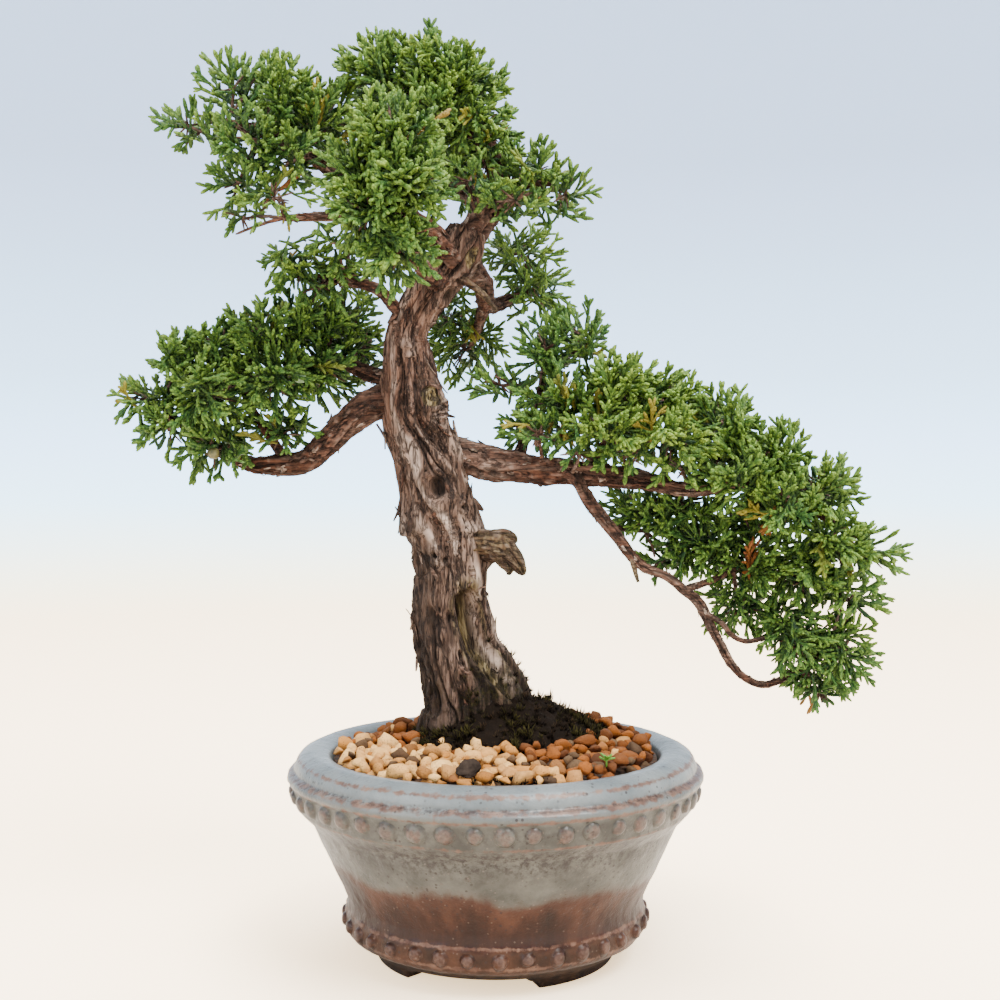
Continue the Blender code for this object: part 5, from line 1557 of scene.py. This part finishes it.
def grain_piece():
    """Grit dropped grain by grain into the ring between the moss and the pot wall."""
    rng = np.random.default_rng(5)
    edge_turn = np.linspace(0, 2 * math.pi, 400)
    ex, ey = moss_edge(edge_turn)
    edge_angle, edge_reach = np.arctan2(ey - 14.0, ex - 4.0), np.hypot(ex - 4.0, ey - 14.0)
    order = np.argsort(edge_angle)
    edge_angle, edge_reach = edge_angle[order], edge_reach[order]
    pos, rad = np.zeros((0, 3)), np.zeros(0)
    tries = 0
    while len(pos) < 1000 and tries < 4600:
        tries += 1
        r = rng.choice((2.0, 2.7, 3.4, 4.1), p=(0.24, 0.32, 0.3, 0.14)) * rng.uniform(0.9, 1.12)
        best = None
        for _ in range(5):
            a, d = rng.uniform(0, 2 * math.pi), math.sqrt(rng.uniform(0, 1)) * (RIM_INNER - 0.2 - r)
            x, y = d * math.cos(a), d * math.sin(a)
            away = math.hypot(x - 4.0, y - 14.0)
            edge = np.interp(math.atan2(y - 14.0, x - 4.0), edge_angle, edge_reach, period=2 * math.pi)
            if away < edge - 2.0 - (4 if rng.uniform() < 0.04 else 0):
                continue
            z = float(gravel_top(x, y)) - 6.4 + r * 0.85
            if len(pos):
                flat = np.hypot(pos[:, 0] - x, pos[:, 1] - y)
                touch = (rad + r) * 0.88
                hit = flat < touch
                if hit.any():
                    z = max(z, float((pos[hit, 2] + np.sqrt(touch[hit] ** 2 - flat[hit] ** 2) * 0.92).max()))
            if best is None or z - gravel_top(x, y) < best[3]:
                best = (x, y, z, z - float(gravel_top(x, y)))
        if best is None or best[3] > 0.9:
            continue
        pos = np.vstack([pos, best[:3]])
        rad = np.append(rad, r)
    n = len(pos)
    turn = np.arctan2(pos[:, 0], -pos[:, 1])
    # Cream grains in front, orange ones to the right and back
    orange = ease(0.28, 0.75, turn) + ease(-1.35, -1.9, turn)
    orange = np.clip(orange + 0.3 * rng.normal(size=n) + 0.12, 0, 1)
    hue = np.where(rng.uniform(size=n) < np.where(orange > 0.5, 0.13, 0.08), 1.0, orange * 0.8)
    stretch = np.stack(
        [rng.uniform(0.85, 1.3, n), rng.uniform(0.8, 1.15, n), rng.uniform(0.72, 1.05, n)], 1,
    ) * rad[:, None]
    way = unit(np.stack([rng.normal(size=n) * 0.5, rng.normal(size=n) * 0.5, np.ones(n)], 1))
    marks = {"way": way, "size": stretch, "hue": hue, "shade": rng.uniform(0, 1, n)}
    # Keep every grain inside the rim
    reach = np.hypot(pos[:, 0], pos[:, 1])
    most = RIM_INNER - rad * 1.08
    pos[:, :2] *= np.minimum(1, most / reach)[:, None]
    rows = Rows()
    rows.lists = {"at": pos} | marks
    return scatter("grit_grains", grain_shapes(), rows, GRIT, 2)


def grit_bed_piece(material):
    """What the grains lie on, just below their tops."""
    rings, sides, radius = 24, 96, 58.3
    points = []
    for i in range(1, rings + 1):
        for a in 2 * math.pi * np.arange(sides) / sides:
            x, y = radius * i / rings * math.sin(a), -radius * i / rings * math.cos(a)
            points.append((x, y, float(gravel_top(x, y)) - 3.4))
    middle = (0, 0, float(gravel_top(0, 0)) - 3.4)
    return bed_piece("grit_bed", points, middle, sides, 66.5, material)


def moss_height(x, y):
    """Height of the mound, with its lumps."""
    edge_x, edge_y = moss_place(math.atan2(y - MOSS_Y, x - MOSS_X), 1.0)
    reach = math.hypot(edge_x - MOSS_X, edge_y - MOSS_Y)
    away = math.hypot(x - MOSS_X, y - MOSS_Y) / max(reach, 1.0)
    rise = 21.0 * max(0.0, 1 - away**1.1)
    lumps = float(layered(np.array([[x / 7.0, y / 7.0, 3.0]]), 41, 3)[0]) * 2.6 * (1 - away * 0.6)
    return MOSS_LOW + rise + lumps - 20.0 * max(0, away - 0.95)


def moss_piece():
    """The mound of moss itself, crumbly all over."""
    rings, sides, points = 46, 150, []
    for i in range(1, rings + 1):
        share = i / rings
        for j in range(sides):
            x, y = moss_place(2 * math.pi * j / sides, share)
            crumbs = 0.8 * float(value_noise(np.array([[x / 1.5, y / 1.5, 1.0]]), 13)[0])
            points.append((x, y, moss_height(x, y) + crumbs * (1 - share**6)))
    middle = (MOSS_X, MOSS_Y, moss_height(MOSS_X, MOSS_Y))
    return bed_piece("moss_bed", points, middle, sides, 67.0, MOSS, {"fresh": 0.35, "along": 0.2})


def tuft_shapes():
    """Little tufts of pointed moss leaves, each one millimetre tall."""
    shapes = []
    rng = np.random.default_rng(31)
    for n in range(6):
        points, faces, along = [], [], []
        for m in range(6):
            a, lean = m * 1.05 + rng.uniform(-0.3, 0.3), rng.uniform(0.15, 0.75)
            tall, wide = rng.uniform(0.6, 1.15), 0.1
            away = np.array([math.cos(a), math.sin(a), 0])
            root, deep = away * 0.12, away * wide
            side = np.array([-math.sin(a), math.cos(a), 0]) * wide
            out = away * lean + (0, 0, 1.0)
            mid = root + out * tall * 0.55
            top = root + out * tall + away * 0.08
            s = len(points)
            points += [
                root - side, root + side, root - deep, mid - side * 0.9, mid + side * 0.9,
                mid - deep * 0.6, top,
            ]
            along += [0, 0, 0, 0.6, 0.6, 0.6, 1]
            faces += [
                (s, s + 1, s + 4, s + 3), (s + 1, s + 2, s + 5, s + 4), (s + 2, s, s + 3, s + 5),
                (s + 3, s + 4, s + 6), (s + 4, s + 5, s + 6), (s + 5, s + 3, s + 6), (s + 2, s + 1, s),
            ]
        shape = make_object(f"tuft_{n}", points, faces, {"along": np.array(along)})
        outward(shape)
        shapes.append(shape)
    return shapes


def tuft_piece(surface):
    """Tufts on the mound, up the foot of the trunk and among the grit."""
    rng = np.random.default_rng(15)
    rows = Rows()
    for _ in range(1700):
        x, y = moss_place(rng.uniform(0, 2 * math.pi), math.sqrt(rng.uniform(0, 1)) * 1.02)
        here = float(value_noise(np.array([[x / 6.0, y / 6.0, 9.0]]), 17)[0])
        if here < -0.35 and rng.uniform() < 0.7:
            continue
        lean_x = 0.4 * rng.normal() + 0.3 * (x - MOSS_X) / MOSS_WIDE
        lean_y = 0.4 * rng.normal() + 0.3 * (y - MOSS_Y) / MOSS_DEEP
        size = rng.uniform(1.2, 3.0) * (1.2 if here > 0.2 else 0.85)
        rows.add(at=(x, y, moss_height(x, y) - 0.4), way=unit(np.array([lean_x, lean_y, 1.0])))
        rows.add(size=(size, size, size * rng.uniform(0.8, 1.3)))
        rows.add(fresh=np.clip(0.45 + 0.5 * here + 0.22 * rng.normal(), 0, 1))
    # Moss climbing the foot of the trunk on the right
    grid, T, Z = surface
    sides = grid.shape[1]
    low = np.flatnonzero((Z[:, 0] > 72) & (Z[:, 0] < 110))
    for _ in range(800):
        i, j = int(rng.choice(low)), int(rng.integers(0, sides))
        too_high = Z[i, j] > 112 - 30 * rng.uniform()
        if too_high or not 0.1 < T[i, j] < 2.6 or abs(T[i, j] - 0.7) < 0.3 and Z[i, j] > 84:
            continue
        out = unit(np.cross(grid[i, (j + 2) % sides] - grid[i, j - 2], grid[i + 2, j] - grid[i - 2, j]))
        rows.add(at=grid[i, j] - out * 0.2)
        rows.add(way=unit(out * 0.8 + (0.3 * rng.normal(), 0.3 * rng.normal(), 0.9)))
        size = rng.uniform(1.2, 2.6)
        rows.add(size=(size, size, size * 1.2), fresh=rng.uniform(0.1, 1.0))
    # Dark crumbs of moss among the grit at the front
    for _ in range(60):
        x, y = rng.normal(3.0, 9.0), rng.uniform(-57, -50)
        if math.hypot(x, y) < RIM_INNER - 1:
            way = unit(rng.normal(size=3) * 0.5 + (0, 0, 1))
            rows.add(at=(x, y, 72.6), way=way, size=(1.8, 1.8, 1.8), fresh=0.25)
    return scatter("moss_tufts", tuft_shapes(), rows, MOSS, 6)


def lump(name, centre, radii, seed, material, rough=0.15, turn=0.0):
    bpy.ops.mesh.primitive_ico_sphere_add(subdivisions=4, radius=1.0)
    ball = bpy.context.object
    ball.name = ball.data.name = name
    co = np.array([v.co for v in ball.data.vertices])
    co = co * (1 + rough * layered(co * 1.4 + seed, seed, 3))[:, None]
    co = co * radii
    c, s = math.cos(turn), math.sin(turn)
    co = np.stack([co[:, 0] * c - co[:, 1] * s, co[:, 0] * s + co[:, 1] * c, co[:, 2]], 1)
    ball.data.vertices.foreach_set("co", ((co + centre) * MM).ravel())
    ball.data.polygons.foreach_set("use_smooth", [True] * len(ball.data.polygons))
    ball.data.update()
    return paint(ball, material)


def slate_piece(material):
    low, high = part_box("slate_chip")
    low, high = np.array(low) / MM, np.array(high) / MM
    centre, half = (low + high) / 2, (high - low) / 2
    obj = lump(
        "slate_flake", centre + (0, -0.6, 1.2), np.array([half[0], half[1], 1.2]), 6, material, 0.34,
        0.25,
    )
    co = np.array([v.co for v in obj.data.vertices])
    # Cleaved layers on top
    layer = np.round(co[:, 2] / (0.6 * MM)) * 0.6 * MM
    co[:, 2] = co[:, 2] * 0.35 + layer * 0.65
    # It leans on the grit, front edge down
    co[:, 2] += (co[:, 1] - centre[1] * MM) * 0.75
    obj.data.vertices.foreach_set("co", co.ravel())
    return obj


def berry_piece(name, node, material):
    low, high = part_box(node)
    centre = (np.array(low) + np.array(high)) / 2 / MM
    radius = max(np.array(high) - np.array(low)) / 2 / MM
    return lump(name, centre, np.array([radius] * 3) * (1, 1, 0.95), 3, material, 0.1)


def seedling_piece(material):
    """A tiny whorl of narrow leaves on a stem."""
    low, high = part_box("seedling")
    low, high = np.array(low) / MM, np.array(high) / MM
    middle = (low + high) / 2
    rng = np.random.default_rng(3)
    rows = Rows()
    root = np.array([middle[0], middle[1], low[2]])
    top = root + (0, -0.4, (high[2] - low[2]) * 0.55)
    rows.add(at=root, way=unit(top - root), length=np.linalg.norm(top - root) * 1.1, thick=0.32)
    for m in range(11):
        a, up = m * 2.4, rng.uniform(0.15, 1.1)
        out = unit(np.array([math.cos(a), math.sin(a), up]))
        rows.add(at=top - (0, 0, rng.uniform(0, 1.2)), way=out, length=rng.uniform(2.0, 3.0), thick=0.36)
    return grow_shoots("seedling_leaves", rows, material, (8, 8), 0.3, 0.1, 4)


# ------------------------------------------------------------------ build it
pot = make_pot()
outward(pot)
place(pot, ["pot"], "glazed_clay")
studs = make_studs()
place(studs, ["pot"], "glazed_clay")

trunk, trunk_surface = trunk_piece()
outward(trunk)
place(trunk, ["trunk_and_branches"], "bark")
branches, peel_from = branch_piece()
outward(branches)
place(branches, ["trunk_and_branches"], "bark")
for piece in (peeling_piece(trunk_surface, peel_from), twig_piece()):
    place(piece, ["trunk_and_branches"], "bark")

for number, (name, (clumps, nodes, full)) in enumerate(SPRAYS.items()):
    place(foliage_piece(name, clumps, full, 100 + number), nodes, "foliage")

place(grain_piece(), ["top_dressing"], "gravel")
BED = bed_material("grit_bed", (0.012, 0.006, 0.003), (0.09, 0.04, 0.016))
place(grit_bed_piece(BED), ["top_dressing"], "gravel")
place(moss_piece(), ["moss_mound"], "moss")
place(tuft_piece(trunk_surface), ["moss_mound"], "moss")

SLATE = simple_material(
    "slate", (0.009, 0.006, 0.0045), (0.04, 0.028, 0.021), 300.0, (0.8, 1.0), 0.0004,
    Specular_IOR_Level=0.05,
)
place(slate_piece(SLATE), ["slate_chip"], "slate")
LEAF = simple_material("seedling", (0.035, 0.15, 0.006), (0.14, 0.34, 0.03), 500.0, (0.4, 0.6))
place(seedling_piece(LEAF), ["seedling"], "seedling_leaf")
PALE = simple_material("pale_berry", (0.11, 0.2, 0.095), (0.24, 0.34, 0.2), 400.0, (0.4, 0.6))
place(berry_piece("pale_berry_skin", "berry_pale", PALE), ["berry_pale"], "berry_green")
RIPE = simple_material("ripe_berry", (0.045, 0.045, 0.01), (0.14, 0.12, 0.035), 400.0, (0.4, 0.6))
place(berry_piece("ripe_berry_skin", "berry_ripe", RIPE), ["berry_ripe"], "berry_brown")

# The hidden CAD pieces that are shown as they are
for node, material in (
    ("soil", bed_material("potting_soil", (0.012, 0.008, 0.005), (0.07, 0.045, 0.03))),
    (
        "drain_mesh",
        simple_material("drain_plastic", (0.02, 0.024, 0.02), (0.045, 0.05, 0.042), 300.0, (0.45, 0.65)),
    ),
    (
        "mesh_clip",
        simple_material(
            "clip_wire", (0.33, 0.19, 0.1), (0.5, 0.34, 0.2), 500.0, (0.28, 0.42), Metallic=1.0,
        ),
    ),
):
    cad = frame["nodes"][node]
    cad.data.materials.clear()
    cad.data.materials.append(material)


# ------------------------------------------------------------------ set, light and camera
def make_floor():
    """A pale sheet that lies flat and sweeps up all round, far from the pot."""
    sides, rings = 96, []
    for r in (1, 120, 400, 800):
        rings.append((r, 0.0))
    for i in range(1, 25):
        a = math.pi / 2 * i / 24
        rings.append((1100 + 1100 * math.sin(a), 1100 - 1100 * math.cos(a)))
    points = [
        (r * math.cos(2 * math.pi * j / sides), r * math.sin(2 * math.pi * j / sides), z)
        for r, z in rings for j in range(sides)
    ]
    faces = ring_faces(len(rings), sides) + [tuple(range(sides))[::-1]]
    f = Finish("backdrop", Roughness=0.75, Emission_Strength=4.5)
    height = f.add("ShaderNodeSeparateXYZ", {0: f.place}).outputs[2]
    up = f.level(height, 0.0, 1.2)
    colour = f.ramp(
        up, (0.0, (0.9, 0.78, 0.64)), (0.05, (0.88, 0.82, 0.72)), (0.25, (0.7, 0.8, 0.88)),
        (0.6, (0.45, 0.55, 0.7)),
    )
    colour = f.mix(f.times(f.noise(30.0), 0.1), colour, (0.85, 0.72, 0.58))
    glow = f.ramp(
        up, (0.0, (0.9, 0.65, 0.36)), (
            0.022, (0.7, 0.69, 0.48),
        ), (0.05, (0.5, 0.66, 0.66)), (0.098, (0.25, 0.6, 0.9)),
        (0.167, (0.18, 0.46, 0.8)), (0.26, (0.11, 0.29, 0.5)), (
            0.45, (0.085, 0.18, 0.32),
        ), (0.6, (0.09, 0.138, 0.235)))
    # Painted shadow: the sheet's glow is dimmed close round the foot
    near = f.level(
        f.add("ShaderNodeVectorMath", {0: f.stretched(1, 1, 0)}, operation="LENGTH").outputs["Value"],
        0.035, 0.12,
    )
    glow = f.mix(near, f.mix(0.6, glow, (0.0, 0.0, 0.0)), glow)
    seen = f.add("ShaderNodeLightPath").outputs["Is Camera Ray"]
    shown = f.mix(seen, f.mix(0.89, glow, (0.0, 0.0, 0.0)), glow)
    f.feed(f.surface.inputs["Emission Color"], shown)
    floor = make_object("floor", points, faces)
    return paint(floor, f.done(colour, None, f.bump(f.noise(300.0), 0.0004, 0.2)))


make_floor()


def soft_light(name, place_at, aim, size, power, colour):
    lamp = bpy.data.lights.new(name, "AREA")
    lamp.shape, lamp.size, lamp.energy, lamp.color = "DISK", size, power, colour
    obj = bpy.data.objects.new(name, lamp)
    bpy.context.scene.collection.objects.link(obj)
    obj.location = place_at
    obj.rotation_euler = (Vector(aim) - Vector(place_at)).to_track_quat("-Z", "Y").to_euler()


soft_light("key", (0.55, -0.65, 1.35), (0, 0, 0.15), 0.9, 58, (1.0, 0.98, 0.95))
soft_light("fill", (-0.9, -0.7, 0.7), (0, 0, 0.15), 1.0, 12, (0.93, 0.96, 1.0))
soft_light("top", (0.0, 0.35, 1.6), (0, 0, 0.15), 1.3, 46, (0.97, 0.98, 1.0))

world = bpy.data.worlds.new("studio")
bpy.context.scene.world = world
world.use_nodes = True
back = world.node_tree.nodes["Background"]
back.inputs["Color"].default_value = (0.86, 0.92, 1.0, 1)
back.inputs["Strength"].default_value = 0.9

lens = bpy.data.cameras.new("camera")
lens.lens, lens.sensor_width, lens.clip_start, lens.clip_end = 51.55, 36.0, 0.01, 20.0
camera = bpy.data.objects.new("camera", lens)
bpy.context.scene.collection.objects.link(camera)
camera.location = (-0.003384, -0.521207, 0.1776)
camera.rotation_euler = (math.pi / 2 - 0.028, 0.0, 0.0)
bpy.context.scene.camera = camera
